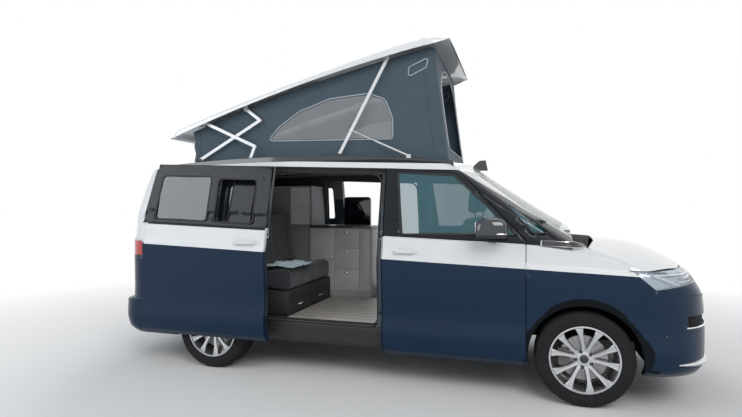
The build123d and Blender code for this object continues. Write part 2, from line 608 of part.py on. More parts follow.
tyre = turned(TYRE_HALF + [(r, -y) for r, y in TYRE_HALF[::-1]])
barrel = turned([(FLANGE_R, 113.5), (FLANGE_R, 107.5), (BEAD_R - FIT, 106.8), (BEAD_R - FIT, -106.8),
                 (FLANGE_R, -107.5), (FLANGE_R, -113.5), (226.0, -113.5), (222.0, -100.0), (222.0, 100.0),
                 (226.0, 113.5)])
hub = turned([(0.0, SHAFT_END), (SHAFT_R, SHAFT_END), (SHAFT_R, DISC_Y[0]), (DISC_R, DISC_Y[0]),
              (DISC_R, DISC_Y[1]), (HUB_R + 10, DISC_Y[1]), (HUB_R, HUB_Y), (HUB_R, 84.0), (34.0, 88.0),
              (32.0, 82.0), (0.0, 83.0)])
spokes = [spoke(81 + 360 / SPOKE_PAIRS * k + side * 14, 81 + 360 / SPOKE_PAIRS * k + side * 18)
          for k in range(SPOKE_PAIRS) for side in (-1, 1)]
rim = fuse(barrel, hub, spokes)


def at(shapes, x, y, z):
    """Copies moved to a place."""
    return [s.translate(Vector(x, y, z)) for s in solids(shapes)]


for name, axle_x in (("front", AXLE_F), ("rear", AXLE_R)):
    for part_name, piece in (("tyre", tyre), ("rim", rim)):
        placed = at(piece, axle_x, TRACK_HALF, AXLE_Z)
        save(part_name + "_" + name + "_left", placed)
        save(part_name + "_" + name + "_right", mirrored(placed))

# Steering knuckles: hub carrier, kingpin post and brake caliper
KINGPIN_Y = TRACK_HALF - 30.0
CARRIER_R = 62.0
POST_R = 22.0
BORE_R = SHAFT_R + FIT
POST_LOW = 172.0
POST_TOP = 518.0
CALIPER_GAP = 5.0


def carrier(inner_y):
    """Ring round the hub shaft with a caliper over the disc, at the origin."""
    ring = rod((0, inner_y, 0), (0, -5, 0), CARRIER_R)
    plate = box(-150, -30, -20, -8, -45, 45)
    caliper = box(-176, -96, -20, 55, -62, 62)
    slot = box(-200, 0, DISC_Y[0] - CALIPER_GAP, DISC_Y[1] + CALIPER_GAP, -90, 90)
    slot = overlap(slot, rod((0, -30, 0), (0, 90, 0), DISC_R + CALIPER_GAP))
    body = fuse(ring, plate, caliper)
    return cut(body, slot, rod((0, inner_y - 5, 0), (0, 20, 0), BORE_R))


post = fuse(rod((0, KINGPIN_Y - TRACK_HALF, POST_LOW - AXLE_Z), (0, KINGPIN_Y - TRACK_HALF, -48), POST_R),
            rod((0, KINGPIN_Y - TRACK_HALF, 48), (0, KINGPIN_Y - TRACK_HALF, POST_TOP - AXLE_Z), POST_R))
knuckle = at(fuse(carrier(SHAFT_END), post), AXLE_F, TRACK_HALF, AXLE_Z)
save("knuckle_left", knuckle)
save("knuckle_right", mirrored(knuckle))

# Front subframe, lower arms and struts
ARM_Z = (176.0, 204.0)
LINK_Z = (486.0, 514.0)
STRUT_Y = 615.0
STRUT_R = 28.0
EYE_R = 33.0


def eye_arm(z_range, inner_y, half_width):
    """Flat arm with an eye round the kingpin post."""
    arm = box(AXLE_F - half_width, AXLE_F + half_width, inner_y, KINGPIN_Y, *z_range)
    ring = rod((AXLE_F, KINGPIN_Y, z_range[0]), (AXLE_F, KINGPIN_Y, z_range[1]), EYE_R)
    bore = rod((AXLE_F, KINGPIN_Y, z_range[0] - 5), (AXLE_F, KINGPIN_Y, z_range[1] + 5), POST_R + FIT)
    return cut(fuse(arm, ring), bore)


lower_arm = eye_arm(ARM_Z, 380.0, 26.0)
strut_top = AXLE_Z + sqrt(WELL_R ** 2 - STRUT_R ** 2) - 0.4
strut_leg = fuse(rod((AXLE_F, STRUT_Y, 470), (AXLE_F, STRUT_Y, strut_top), STRUT_R),
                 rod((AXLE_F, STRUT_Y, 545), (AXLE_F, STRUT_Y, 690), 42.0),
                 eye_arm(LINK_Z, STRUT_Y, 15.0))
subframe = fuse(box(AXLE_F - 110, AXLE_F + 110, 0, 420, 200, 262),
                box(AXLE_F - 90, AXLE_F + 90, 420, 502, 200, 399.7), lower_arm)
save("front_suspension", whole(subframe), both_sides(strut_leg))
engine = box(1460, 2110, -360, 360, 262.3, 880)
save("engine", engine)

# Rear axle: beam, trailing arms and hub carriers
rear_side = fuse(box(AXLE_R + 170, AXLE_R + 250, 0, 600, 268, 330),
                 box(AXLE_R - 60, AXLE_R + 480, 545, 605, 300, 345),
                 box(AXLE_R + 400, AXLE_R + 480, 545, 605, 340, 399.7),
                 rod((AXLE_R, 560, AXLE_Z), (AXLE_R, 768, AXLE_Z), 50.0),
                 at(carrier(SHAFT_END), AXLE_R, TRACK_HALF, AXLE_Z))
rear_side = cut(rear_side, rod((AXLE_R, TRACK_HALF + SHAFT_END - 2, AXLE_Z), (AXLE_R, 900, AXLE_Z), BORE_R))
rear_spring = rod((AXLE_R + 120, 575, 345.3), (AXLE_R + 120, 575, 399.7), 40.0)
save("rear_axle", whole(rear_side), both_sides(rear_spring))

# Under the floor: tank, exhaust and silencer
tank = prism([(-440, 399.7), (-440, 300), (-390, 255), (390, 255), (440, 300), (440, 399.7)], "X", -900, -120)
pipe = rod((1380, -480, 372), (-1960, -480, 372), 22.0)
silencer = prism([(-640, 399.7), (-640, 330), (-600, 300),
                  (300, 300), (340, 330), (340, 399.7)], "X", -2180, -1950)
pipe = cut(pipe, box(-2180, -1950, -640, 340, 300, 399.7), box(AXLE_F - 800, 3000, -900, 900, 0, 500))
save("underfloor", tank, fuse(silencer, pipe))

# Dashboard and steering wheel
dash_side = [(1150, 1010), (1180, 1120), (1300, 1175), (1470, 1170), (1600, 1120), (1600, 940), (1304, 940),
             (1304, 640), (1250, 640), (1230, 900), (1170, 960)]
dashboard = cut(prism(dash_side, "Y", 0, 740), side_left, front_structure, floor_pan)
WHEEL_HUB = (1085.0, 400.0, 985.0)
STEER_TILT = 65.0
STEER_R = 185.0
steer_axis = Vector(-sin(radians(STEER_TILT)), 0, cos(radians(STEER_TILT)))
steer_ring = Solid.make_torus(STEER_R, 15.0, Plane(origin=(0, 0, 0), z_dir=(0, 0, 1)))
steer_hub = Solid.make_cylinder(62.0, 40.0, Plane(origin=(0, 0, -26), z_dir=(0, 0, 1)))
steer_bars = [box(-STEER_R + 4, -50, -18, 18, -12, 6), box(50, STEER_R - 4, -18, 18, -12, 6),
              box(-16, 16, -STEER_R + 4, -50, -12, 6)]
steer_column = Solid.make_cylinder(24.0, 120.0, Plane(origin=(0, 0, -130), z_dir=(0, 0, 1)))
steering = fuse(steer_ring, steer_hub, steer_bars, steer_column)
tilt = Plane(origin=WHEEL_HUB, x_dir=(0, 1, 0), z_dir=steer_axis)
steering = [tilt.from_local_coords(s) for s in steering]
dashboard = whole([b for b in dashboard if b.volume > 1000000.0])
column_room = rod(Vector(*WHEEL_HUB) - steer_axis * 131, Vector(*WHEEL_HUB) - steer_axis * 20, 24.4)
dashboard = cut(dashboard, column_room)
save("dashboard", dashboard)
save("steering_wheel", steering)

# Front seats, turned to face the back
SEAT_Y = 430.0


def seat(centre_y):
    """Cushion, back and headrest of one front seat, in one soft solid."""
    cushion = prism([(205, 690), (690, 665), (735, 820), (560, 810), (215, 850)],
                    "Y", centre_y - 250, centre_y + 250)
    back = prism([(640, 800), (760, 760), (880, 1330), (845, 1385), (780, 1385)],
                 "Y", centre_y - 240, centre_y + 240)
    head = prism([(790, 1380), (880, 1380), (890, 1590), (860, 1620), (800, 1620), (785, 1590)],
                 "Y", centre_y - 130, centre_y + 130)
    return fuse(cushion, back, head)


save("front_seats", seat(SEAT_Y), seat(-SEAT_Y))
pedestal = prism([(330, FLOOR_Z + 0.3), (680, FLOOR_Z + 0.3), (640, 667), (370, 681.3)], "Y", 230, 630)

# Rear bench on the right
bench_cushion = [(-1290, 765), (-1140, 700), (-790, 700), (-760, 760), (-760, 880), (-800, 893), (-1200, 865)]
bench_back = [(-1330, 765), (-1180, 800), (-1190, 900), (-1290, 1380), (-1340, 1400), (-1400, 1380)]
bench = fuse(prism(bench_cushion, "Y", -740, 290), prism(bench_back, "Y", -740, 290))
save("rear_bench", bench)
bench_base = box(-1250, -800, -620, 270, FLOOR_Z + 0.3, 699.7)
save("seat_bases", both_sides(pedestal), bench_base)

# Kitchen along the left wall, tall cupboard behind, raised lid
KITCHEN_FACE = 350.0
KITCHEN_TOP = 1250.0
kitchen = fuse(box(-1060, -340, KITCHEN_FACE, 790, FLOOR_Z + 0.3, KITCHEN_TOP),
               box(-1900, -1060, KITCHEN_FACE + 60, 790, 800, 1700),
               box(-1900, -1060, KITCHEN_FACE + 60, 560, FLOOR_Z + 0.3, 810))
lid = prism([(-760, 1250), (-440, 1250), (-440, 1545),
             (-470, 1575), (-730, 1575), (-760, 1545)], "Y", 660, 684)
kitchen = cut(fuse(kitchen, lid), side_left, slide_closed)
kitchen = [b for b in kitchen if b.volume > 500000.0]
save("kitchen", kitchen)

# Pop-up roof. It is shaped shut, then turned up about its pole
POLE = (-2989.6, 2056.0)
RAISE = 15.4


def arc_z(points, x):
    """Height at x on the circle through three points."""
    (x1, z1), (x2, z2), (x3, z3) = points
    a = x1 - x2
    b = z1 - z2
    c = x1 - x3
    d = z1 - z3
    e = ((x1 ** 2 - x2 ** 2) + (z1 ** 2 - z2 ** 2)) / 2
    f = ((x1 ** 2 - x3 ** 2) + (z1 ** 2 - z3 ** 2)) / 2
    det = a * d - b * c
    cx = (d * e - b * f) / det
    cz = (a * f - c * e) / det
    return cz + sqrt((x1 - cx) ** 2 + (z1 - cz) ** 2 - (x - cx) ** 2)


def rim_z(x):
    """Height of the shut shell's lower edge."""
    return arc_z(RIM, x)


def raised(shapes):
    """Shapes of the shut roof, turned to the raised pose."""
    return [s.rotate(Axis((POLE[0], 0, POLE[1]), (0, 1, 0)), -RAISE) for s in solids(shapes)]


def raised_point(x, z):
    """A point of the shut roof in the raised pose."""
    dx = x - POLE[0]
    dz = z - POLE[1]
    c = cos(radians(RAISE))
    d = sin(radians(RAISE))
    return (POLE[0] + dx * c - dz * d, POLE[1] + dx * d + dz * c)


# Columns: station, half width, top height, sag to the side, corner drop
SHELL_OUT = [(-2100.0, 700.0, 1884.0, 6.0, 4.0), (-1975.0, 742.0, 1957.0, 22.0, 20.0),
             (-700.0, 750.0, 1990.0, 26.0, 24.0), (300.0, 750.0, 1966.0, 26.0, 24.0),
             (600.0, 735.0, 1932.0, 26.0, 24.0), (745.0, 680.0, 1874.0, 12.0, 12.0)]
SHELL_IN = [(-2020.0, 705.0, 1912.0, 8.0, 8.0), (-1960.0, 730.0, 1947.0, 16.0, 12.0),
            (-700.0, 738.0, 1980.0, 22.0, 14.0), (300.0, 738.0, 1956.0, 22.0, 14.0),
            (590.0, 722.0, 1922.0, 22.0, 12.0), (690.0, 690.0, 1884.0, 12.0, 10.0)]
# Room between the shut shell and the crowned roof under it
SHELL_CLEAR = 7.0


def shell_loft(stations, below):
    """Left half of the shell's volume."""
    wires = []
    for x, half, top, sag, corner in stations:
        low = rim_z(x) - below
        flat = half - 30.0
        edge = top - sag
        wires.append(Wire([
            Edge.make_three_point_arc(Vector(x, 0, top), Vector(x, flat / 2, top - sag / 4),
                                      Vector(x, flat, edge)),
            Edge.make_line(Vector(x, flat, edge), Vector(x, half, edge - corner)),
            Edge.make_line(Vector(x, half, edge - corner), Vector(x, half, low)),
            Edge.make_line(Vector(x, half, low), Vector(x, 0, low)),
            Edge.make_line(Vector(x, 0, low), Vector(x, 0, top))]))
    return Solid.make_loft(wires, ruled=True)


# Pivots in (x, z): on the roof in the raised pose, on the shell in the shut pose
BAR_A_BODY = (-1760.0, 1912.0)
ELBOW_A = (-1107.0, 2264.0)
LINK_A_SHELL = (-1242.0, 1916.0)
BAR_B_SHELL = (-1672.0, 1907.0)
ELBOW_B = (-1146.0, 2020.0)
LINK_B_BODY = (-1193.0, 1907.0)
STRUT_BODY = (-320.0, 1917.0)
STRUT_TOP = (127.0, 2740.0)
GAS_BODY = (319.0, 1889.0)
GAS_REACH = 244.0
# Planes of the bars across the van
PLANE_LINK_A = (668.0, 676.0)
PLANE_BAR_A = (681.0, 689.0)
PLANE_BAR_B = (694.0, 702.0)
PLANE_LINK_B = (707.0, 715.0)
BAR_HALF = 14.0
PIN_FIT = 0.3
RAIL_Y = 713.0
# Rail that the strut's roller runs along: lower edge, raised edge over the gas spring's bracket
RAIL_X = (170.0, 285.0, 560.0)
RAIL_Z = (1893.0, 1905.0)
RAIL_T = 8.0



def crown_at(lift):
    """Left half of the solid under the crowned roof, lifted or lowered."""
    return crowned([(x, c + lift, c + lift - ROOF_SAG) for x, c in ROOF_CROWN], ROOF_SAG_Y, 1500.0)


shell_roof = cut(shell_loft(SHELL_OUT, 0.0), shell_loft(SHELL_IN, 60.0), rim_block(-10.0, 800.0, 0.0, 300.0),
                 crown_at(SHELL_CLEAR))
shell_roof = [b for b in shell_roof if b.volume > 1000000.0]
inner_room = shell_loft([(x, h + 3, t + 3, s, c) for x, h, t, s, c in SHELL_IN], 60.0)
lug_a = overlap(box(LINK_A_SHELL[0] - 22, LINK_A_SHELL[0] + 22, 655.5, PLANE_LINK_A[0] - PIN_FIT,
                    LINK_A_SHELL[1] - 16, 2000), inner_room)
lug_b = overlap(box(BAR_B_SHELL[0] - 22, BAR_B_SHELL[0] + 22, PLANE_BAR_B[1] + PIN_FIT, 760,
                    BAR_B_SHELL[1] - 16, 2000), inner_room)
rail_rear = box(RAIL_X[0], RAIL_X[1], RAIL_Y, RAIL_Y + RAIL_T, RAIL_Z[0], 2000)
rail_front = box(RAIL_X[1] - 1, RAIL_X[2], RAIL_Y, RAIL_Y + RAIL_T, RAIL_Z[1], 2000)
roller_rail = overlap(fuse(rail_rear, rail_front), inner_room)
shell_half = fuse(shell_roof, lug_a, lug_b, roller_rail)
roof_shell = raised(whole(shell_half))
save("roof_shell", roof_shell)


def bar(p, q, plane, half=BAR_HALF):
    """Flat bar with round ends between two pivots, in a plane across the van."""
    size = hypot(q[0] - p[0], q[1] - p[1])
    nx = -(q[1] - p[1]) / size * half
    nz = (q[0] - p[0]) / size * half
    outline = [(p[0] + nx, p[1] + nz), (q[0] + nx, q[1] + nz), (q[0] - nx, q[1] - nz), (p[0] - nx, p[1] - nz)]
    body = prism(outline, "Y", plane[0], plane[1])
    ends = [rod((x, plane[0], z), (x, plane[1], z), half) for x, z in (p, q)]
    return fuse(body, ends)


def boss(point, y0, y1, radius=7.0):
    """Short pin that stands out of a bar towards its neighbour."""
    return rod((point[0], y0, point[1]), (point[0], y1, point[1]), radius)


link_a_top = raised_point(*LINK_A_SHELL)
bar_b_top = raised_point(*BAR_B_SHELL)
strut_size = hypot(STRUT_TOP[0] - STRUT_BODY[0], STRUT_TOP[1] - STRUT_BODY[1])
strut_way = ((STRUT_TOP[0] - STRUT_BODY[0]) / strut_size, (STRUT_TOP[1] - STRUT_BODY[1]) / strut_size)
gas_pin = (STRUT_BODY[0] + strut_way[0] * GAS_REACH, STRUT_BODY[1] + strut_way[1] * GAS_REACH)
bars_a = fuse(bar(BAR_A_BODY, ELBOW_A, PLANE_BAR_A), boss(ELBOW_A, PLANE_LINK_A[1] + PIN_FIT, PLANE_BAR_A[0]))
links_a = bar(link_a_top, ELBOW_A, PLANE_LINK_A)
bars_b = fuse(bar(bar_b_top, ELBOW_B, PLANE_BAR_B), boss(ELBOW_B, PLANE_BAR_B[1], PLANE_LINK_B[0] - PIN_FIT))
links_b = bar(LINK_B_BODY, ELBOW_B, PLANE_LINK_B)
struts = fuse(bar(STRUT_BODY, STRUT_TOP, PLANE_BAR_A), boss(STRUT_TOP, PLANE_BAR_A[1], RAIL_Y - PIN_FIT, 8.0),
              boss(gas_pin, PLANE_BAR_A[1], 692.0 - PIN_FIT, 8.0))
save("bars_a", both_sides(bars_a))
save("links_a", both_sides(links_a))
save("bars_b", both_sides(bars_b))
save("links_b", both_sides(links_b))
save("roof_struts", both_sides(struts))
GAS_Y = 700.0
GAS_R = 8.0
GAS_ROD_R = 4.0
gas_size = hypot(gas_pin[0] - GAS_BODY[0], gas_pin[1] - GAS_BODY[1])
gas_way = ((gas_pin[0] - GAS_BODY[0]) / gas_size, (gas_pin[1] - GAS_BODY[1]) / gas_size)


def along_gas(distance):
    """Point on the gas spring's line, from its foot."""
    return (GAS_BODY[0] + gas_way[0] * distance, GAS_Y, GAS_BODY[1] + gas_way[1] * distance)


gas_tube = fuse(rod(along_gas(0), along_gas(330), GAS_R),
                boss(GAS_BODY, GAS_Y - GAS_R - 1, GAS_Y + GAS_R - 0.5, 10.0))
gas_tube = cut(gas_tube, rod(along_gas(22), along_gas(331), GAS_ROD_R + FIT))
gas_rod = fuse(rod(along_gas(205), along_gas(gas_size), GAS_ROD_R), boss(gas_pin, 692.0, 708.0, 9.0))
save("gas_tubes", both_sides(gas_tube))
save("gas_rods", both_sides(gas_rod))

# Brackets on the fixed roof for the pivots, and the tent frame already there
# Columns: pivot, half length, inner face, outer face, foot, height over the pivot
BRACKETS = [(BAR_A_BODY, 20.0, PLANE_BAR_A[1] + PIN_FIT, 700.0, 1830.0, 12.0),
            (STRUT_BODY, 20.0, PLANE_BAR_A[1] + PIN_FIT, 700.0, 1830.0, 12.0),
            (LINK_B_BODY, 18.0, PLANE_LINK_B[1] + PIN_FIT, 723.5, 1830.0, 10.0),
            (GAS_BODY, 18.0, GAS_Y + GAS_R + PIN_FIT, 720.0, 1810.0, 10.0)]
brackets = cut([box(x - half, x + half, y0, y1, foot, z + over)
                for (x, z), half, y0, y1, foot, over in BRACKETS], CAVITY)
# Groove in the roof where the folded struts lie
GROOVE_DEPTH = 22.0
GROOVE_ROOM = 6.0
groove = cut(box(-290, 690, PLANE_BAR_A[0] - GROOVE_ROOM, RAIL_Y + GROOVE_ROOM, 1700, 2000),
             crown_at(-GROOVE_DEPTH))
roof = cut(roof, groove)
save("roof_panel", whole(fuse(roof, brackets)))

# Rails along the roof edge and the roof fin
rail = cut(rim_block(724.0, 748.0, -7.0, 120.0), OUTER)
rail = [b for b in rail if b.volume > 10000.0 and b.center().Z > 1850]
fin = cut(prism([(790, 1800), (795, 1850), (850, 1896), (905, 1898), (925, 1800)], "Y", 0, 14), OUTER)
fin = [b for b in fin if b.center().Z > 1820]
save("roof_trim", both_sides(rail), whole(fin))

# Tent between the roof frame and the shell
CANVAS_T = 6.0
TENT_Y = 650.0
tent_front_low = (646.0, rim_z(646.0) - 30)
tent_rear_low = (-1880.0, rim_z(-1880.0) - 30)
tent_top = [raised_point(x, rim_z(x) + 4.0) for x in (600.0, -600.0, -1900.0)]
tent_side = [tent_front_low] + tent_top + [tent_rear_low]
tent_inner = [(tent_front_low[0] - CANVAS_T, 1700.0), (tent_top[0][0] - CANVAS_T, tent_top[0][1] + 20),
              (tent_top[1][0], tent_top[1][1] + 60), (tent_top[2][0] + CANVAS_T, tent_top[2][1] + 60),
              (tent_rear_low[0] + CANVAS_T, 1700.0)]
tent = cut(prism(tent_side, "Y", 0.0, TENT_Y), prism(tent_inner, "Y", 0.0, TENT_Y - CANVAS_T),
           rim_block(-10.0, 700.0, -4.7, 400.0),
           crown_at(0.4))
mesh_window = [(-1040.0, 2062.0), (-900.0, 2230.0), (-640.0, 2370.0), (-340.0, 2440.0), (-60.0, 2455.0),
               (90.0, 2380.0), (160.0, 2200.0), (165.0, 2045.0)]
front_arch = [(0.0, 1960.0), (470.0, 1960.0), (500.0, 2000.0), (500.0, 2420.0), (420.0, 2600.0),
              (250.0, 2700.0), (0.0, 2740.0)]
tent = cut(tent, prism(mesh_window, "Y", TENT_Y - 40, TENT_Y + 40), prism(front_arch, "X", 560.0, 720.0))
save("tent", whole(tent))

# Door mirrors
housing = prism([(900, 1225), (925, 1366), (1085, 1372), (1136, 1320), (1130, 1222)], "Y", 990.0, 1122.0)
housing = solids(housing.fillet(26.0, housing.edges().filter_by(Plane.XZ)))
mirror_arm = prism([(1000, 1213), (1110, 1213), (1120, 1245), (1000, 1245)], "Y", 880.0, 1010.0)
mirror = cut(fuse(housing, mirror_arm), OUTER, door_left)
mirror = [b for b in mirror if b.volume > 100000.0]
save("mirror_left", mirror)
save("mirror_right", mirrored(mirror))

# Wipers lie on the windscreen
# Columns: inner end and outer end as (y, z)
BLADES = [((60.0, 1236.0), (640.0, 1262.0)), ((20.0, 1240.0), (640.0, 1262.0))]
BLADE_T = 12.0
blade_top = green_mass(-BLADE_T, -BLADE_T)
glass_top = green_mass(2.0 - FIT, 2.0 - FIT)
right_blade, left_blade = [
    cut(overlap(prism([(ya, za), (yb, zb), (yb, zb + BLADE_T), (ya, za + BLADE_T)], "X", 1500.0, 2000.0),
                blade_top), glass_top) for (ya, za), (yb, zb) in BLADES]
save("wipers", mirrored(right_blade), left_blade)

# Lower grille: bars across the intake
GRILLE_SET = 12.0
GRILLE_T = 30.0
bars = [box(2200, FAR_X, 0, 689.6, z, z + 9) for z in (384, 408, 432, 455)]
posts = [box(2200, FAR_X, y, y + 10, 372.4, 467.6) for y in (0, 170, 340, 510, 670)]
grille = overlap(fuse(bars, posts), lower_mass(GRILLE_SET, GRILLE_SET))
grille = cut(grille, lower_mass(GRILLE_SET + GRILLE_T, GRILLE_SET + GRILLE_T))
save("grille", whole([b for b in grille if b.center().X > 2200]))

# Arms that carry the open sliding doors
arms = [box(-980, -930, 735, 845, 1788, 1812), box(-980, -930, 860, 1012, 396, 424),
        box(-2000, -1950, 930, 1008, 1150, 1180)]
arms = cut(arms, side_left, sliding_door, floor_pan)
arms = [b for b in arms if b.volume > 5000.0 and b.center().Y > 700]
sliding_door = fuse(sliding_door, arms)
save("sliding_door_left", sliding_door)
save("sliding_door_right", mirrored(sliding_door))
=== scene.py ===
import json
from math import atan2, cos, exp, hypot, pi, radians, sin, sqrt

import bmesh
import bpy
import numpy as np
from mathutils import Matrix, Vector, noise
from mathutils.bvhtree import BVHTree

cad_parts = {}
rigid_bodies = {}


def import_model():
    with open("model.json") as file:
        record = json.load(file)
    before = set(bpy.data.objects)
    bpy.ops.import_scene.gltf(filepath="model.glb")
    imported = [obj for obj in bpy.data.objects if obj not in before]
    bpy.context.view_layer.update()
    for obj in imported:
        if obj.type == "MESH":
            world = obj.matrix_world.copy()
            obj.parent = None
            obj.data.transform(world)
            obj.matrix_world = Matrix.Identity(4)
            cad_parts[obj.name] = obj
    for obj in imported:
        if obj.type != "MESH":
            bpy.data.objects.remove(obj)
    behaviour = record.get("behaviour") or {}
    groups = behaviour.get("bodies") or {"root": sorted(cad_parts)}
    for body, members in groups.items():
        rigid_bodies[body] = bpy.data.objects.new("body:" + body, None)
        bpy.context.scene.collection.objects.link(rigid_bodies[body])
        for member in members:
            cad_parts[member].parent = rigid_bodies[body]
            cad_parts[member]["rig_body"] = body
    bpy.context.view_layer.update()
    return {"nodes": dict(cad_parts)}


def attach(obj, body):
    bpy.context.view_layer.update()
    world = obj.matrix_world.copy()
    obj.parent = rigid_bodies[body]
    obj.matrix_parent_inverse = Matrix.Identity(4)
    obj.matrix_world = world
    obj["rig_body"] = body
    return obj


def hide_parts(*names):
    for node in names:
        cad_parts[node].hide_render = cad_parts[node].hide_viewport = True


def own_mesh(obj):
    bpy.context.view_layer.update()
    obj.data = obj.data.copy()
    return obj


# Camper van with a pop-up roof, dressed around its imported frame. Metres, +X forward, +Y left, +Z up.
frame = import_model()
nodes = frame["nodes"]
scene = bpy.context.scene
scene.view_settings.view_transform = "Standard"

# Driving sizes of the van, as in its construction
LENGTH = 5.173
WIDTH = 1.941
WHEELBASE = 3.124
FRONT_OVERHANG = 0.921
HALF_L = LENGTH / 2
HALF_W = WIDTH / 2
AXLE_F = HALF_L - FRONT_OVERHANG
AXLE_R = AXLE_F - WHEELBASE
TYRE_R = 0.346
TRACK_HALF = 0.820
RISE = -0.040
SPLIT_RISE = -0.038
BELT_Z = 1.219
SPLIT_Z = 1.043
DOOR_TOP_Z = 1.781
FLOOR_Z = 0.470
SIDES = ((1, "left"), (-1, "right"))
# Open place of the sliding doors, against shut. The second number is outwards.
SLIDE_SHIFT = (-1.0, 0.1, 0.038)

# Body sections, bottom to top. Columns: height at the middle, rise per length,
# and how far the side, the nose and the tail stand in from the largest size.
LOWER = [
    (0.265, 0.0, 0.065, 0.041, 0.086),
    (0.320, 0.0, 0.020, 0.011, 0.031),
    (0.440, 0.0, 0.005, 0.001, 0.004),
    (0.575, 0.0, 0.020, 0.0, 0.0),
    (0.600, 0.0, 0.020, 0.001, 0.072),
    (0.800, 0.0, 0.010, 0.014, 0.082),
    (SPLIT_Z, RISE, 0.0, 0.086, 0.086),
    (1.085, RISE, 0.018, 0.116, 0.091),
    (BELT_Z, RISE, 0.040, 0.186, 0.101),
    (1.350, RISE, 0.075, 0.386, 0.130),
]
GREENHOUSE = [
    (1.150, RISE, 0.047, 0.700, 0.112),
    (BELT_Z, RISE, 0.046, 0.706, 0.110),
    (1.500, RISE, 0.100, 1.216, 0.166),
    (DOOR_TOP_Z, RISE, 0.172, 1.656, 0.262),
    (1.850, RISE, 0.196, 1.766, 0.300),
    (1.960, RISE, 0.290, 1.890, 0.380),
]
# Plan radii. Columns: nose, front corner, tail, rear corner.
LOWER_RADII = (2.600, 0.420, 3.000, 0.210)
GREEN_RADII = (1.750, 0.130, 3.000, 0.150)
# Crowned surfaces. Columns: station, centre height and, on the bonnet, height at the edge.
ROOF_CROWN = [(-2.700, 1.845), (-2.000, 1.885), (-1.000, 1.912), (0.0, 1.908),
              (0.600, 1.868), (1.000, 1.800), (1.600, 1.650)]
ROOF_SAG = 0.099
ROOF_SAG_Y = 1.100
BONNET_CROWN = [(1.250, 1.235, 1.169), (1.800, 1.200, 1.075), (2.070, 1.170, 0.985),
                (2.320, 1.085, 0.900), (2.480, 0.975, 0.800), (2.640, 0.790, 0.590)]
BONNET_EDGE_Y = 1.000
ROOF_ROWS = [(x, centre, centre - ROOF_SAG) for x, centre in ROOF_CROWN]
# Distance given to places that a surface doesn't reach
FAR_AWAY = 9.0
SECTION_SLACK = 0.002


def pick(knots, values, at, smooth):
    """Interpolates a table row by row, straight or by a monotone cubic. knots and values are N by K."""
    n, k = knots.shape
    at = np.clip(at, knots[:, 0], knots[:, -1])
    step = np.diff(knots, axis=1)
    slope = np.diff(values, axis=1) / step
    index = np.clip((at[:, None] >= knots[:, 1:-1]).sum(1), 0, k - 2)
    row = np.arange(n)
    h = step[row, index]
    t = (at - knots[row, index]) / h
    a = values[row, index]
    b = values[row, index + 1]
    if not smooth:
        return a + (b - a) * t
    left, right = slope[:, :-1], slope[:, 1:]
    same = left * right > 0
    w1 = 2 * step[:, 1:] + step[:, :-1]
    w2 = step[:, 1:] + 2 * step[:, :-1]
    harmonic = (w1 + w2) / (w1 / np.where(same, left, 1) + w2 / np.where(same, right, 1))
    tangent = np.zeros((n, k))
    tangent[:, 1:-1] = np.where(same, harmonic, 0.0)
    tangent[:, 0] = slope[:, 0]
    tangent[:, -1] = slope[:, -1]
    da = tangent[row, index] * h
    db = tangent[row, index + 1] * h
    return (a * (1 + 2 * t) * (1 - t) ** 2 + da * t * (1 - t) ** 2
            + b * t * t * (3 - 2 * t) + db * t * t * (t - 1))


def section_at(table, x, z, inset=0.0, smooth=True):
    """Knot heights of a body section at each x, and how far side, nose and tail stand in at each z."""
    rows = np.array(table)
    knots = rows[:, 0] + np.outer(x, rows[:, 1])
    one = np.ones((len(knots), 1))
    return knots, [pick(knots, one * rows[:, column], z, smooth) + inset for column in (2, 3, 4)]


def profile_at(table, x, column, smooth=True):
    """Values of one column of a table at places x along its first column."""
    rows = np.array(table)
    one = np.ones((len(x), 1))
    return pick(one * rows[:, 0], one * rows[:, column], np.array(x), smooth)


def side_of(points, table, radii, inset, smooth):
    """Nearest point of the body's plan outline at each point's own height, with its distance."""
    x, y, z = points.T
    knots, (side, nose, tail) = section_at(table, x, z, inset, smooth)
    inside = (z >= knots[:, 0] - SECTION_SLACK) & (z <= knots[:, -1] + SECTION_SLACK)
    nose_r, front_r, tail_r, rear_r = [r - inset for r in radii]
    half = HALF_W - side
    front = HALF_L - nose
    back = -(HALF_L - tail)
    fx = front - nose_r + np.sqrt((nose_r - front_r) ** 2 - (half - front_r) ** 2)
    rx = back + tail_r - np.sqrt((tail_r - rear_r) ** 2 - (half - rear_r) ** 2)
    wide = np.abs(y)
    new_x, new_y = x.copy(), half.copy()
    for sign, corner_x, corner_r, big_x, big_r in ((1, fx, front_r, front - nose_r, nose_r),
                                                   (-1, rx, rear_r, back + tail_r, tail_r)):
        along_x = sign * (x - corner_x)
        past = along_x > 0
        turn = np.arctan2(half - corner_r, sign * (corner_x - big_x))
        angle = np.arctan2(wide - (half - corner_r), along_x)
        on_corner = past & (angle > turn)
        new_x = np.where(on_corner, corner_x + sign * corner_r * np.cos(angle), new_x)
        new_y = np.where(on_corner, half - corner_r + corner_r * np.sin(angle), new_y)
        big_angle = np.arctan2(wide, sign * (x - big_x))
        on_big = past & (angle <= turn)
        new_x = np.where(on_big, big_x + sign * big_r * np.cos(big_angle), new_x)
        new_y = np.where(on_big, big_r * np.sin(big_angle), new_y)
    new = np.stack([new_x, new_y * np.sign(y + 1e-9), z], 1)
    far = np.hypot(new[:, 0] - x, new[:, 1] - y)
    return new, np.where(inside, far, FAR_AWAY)


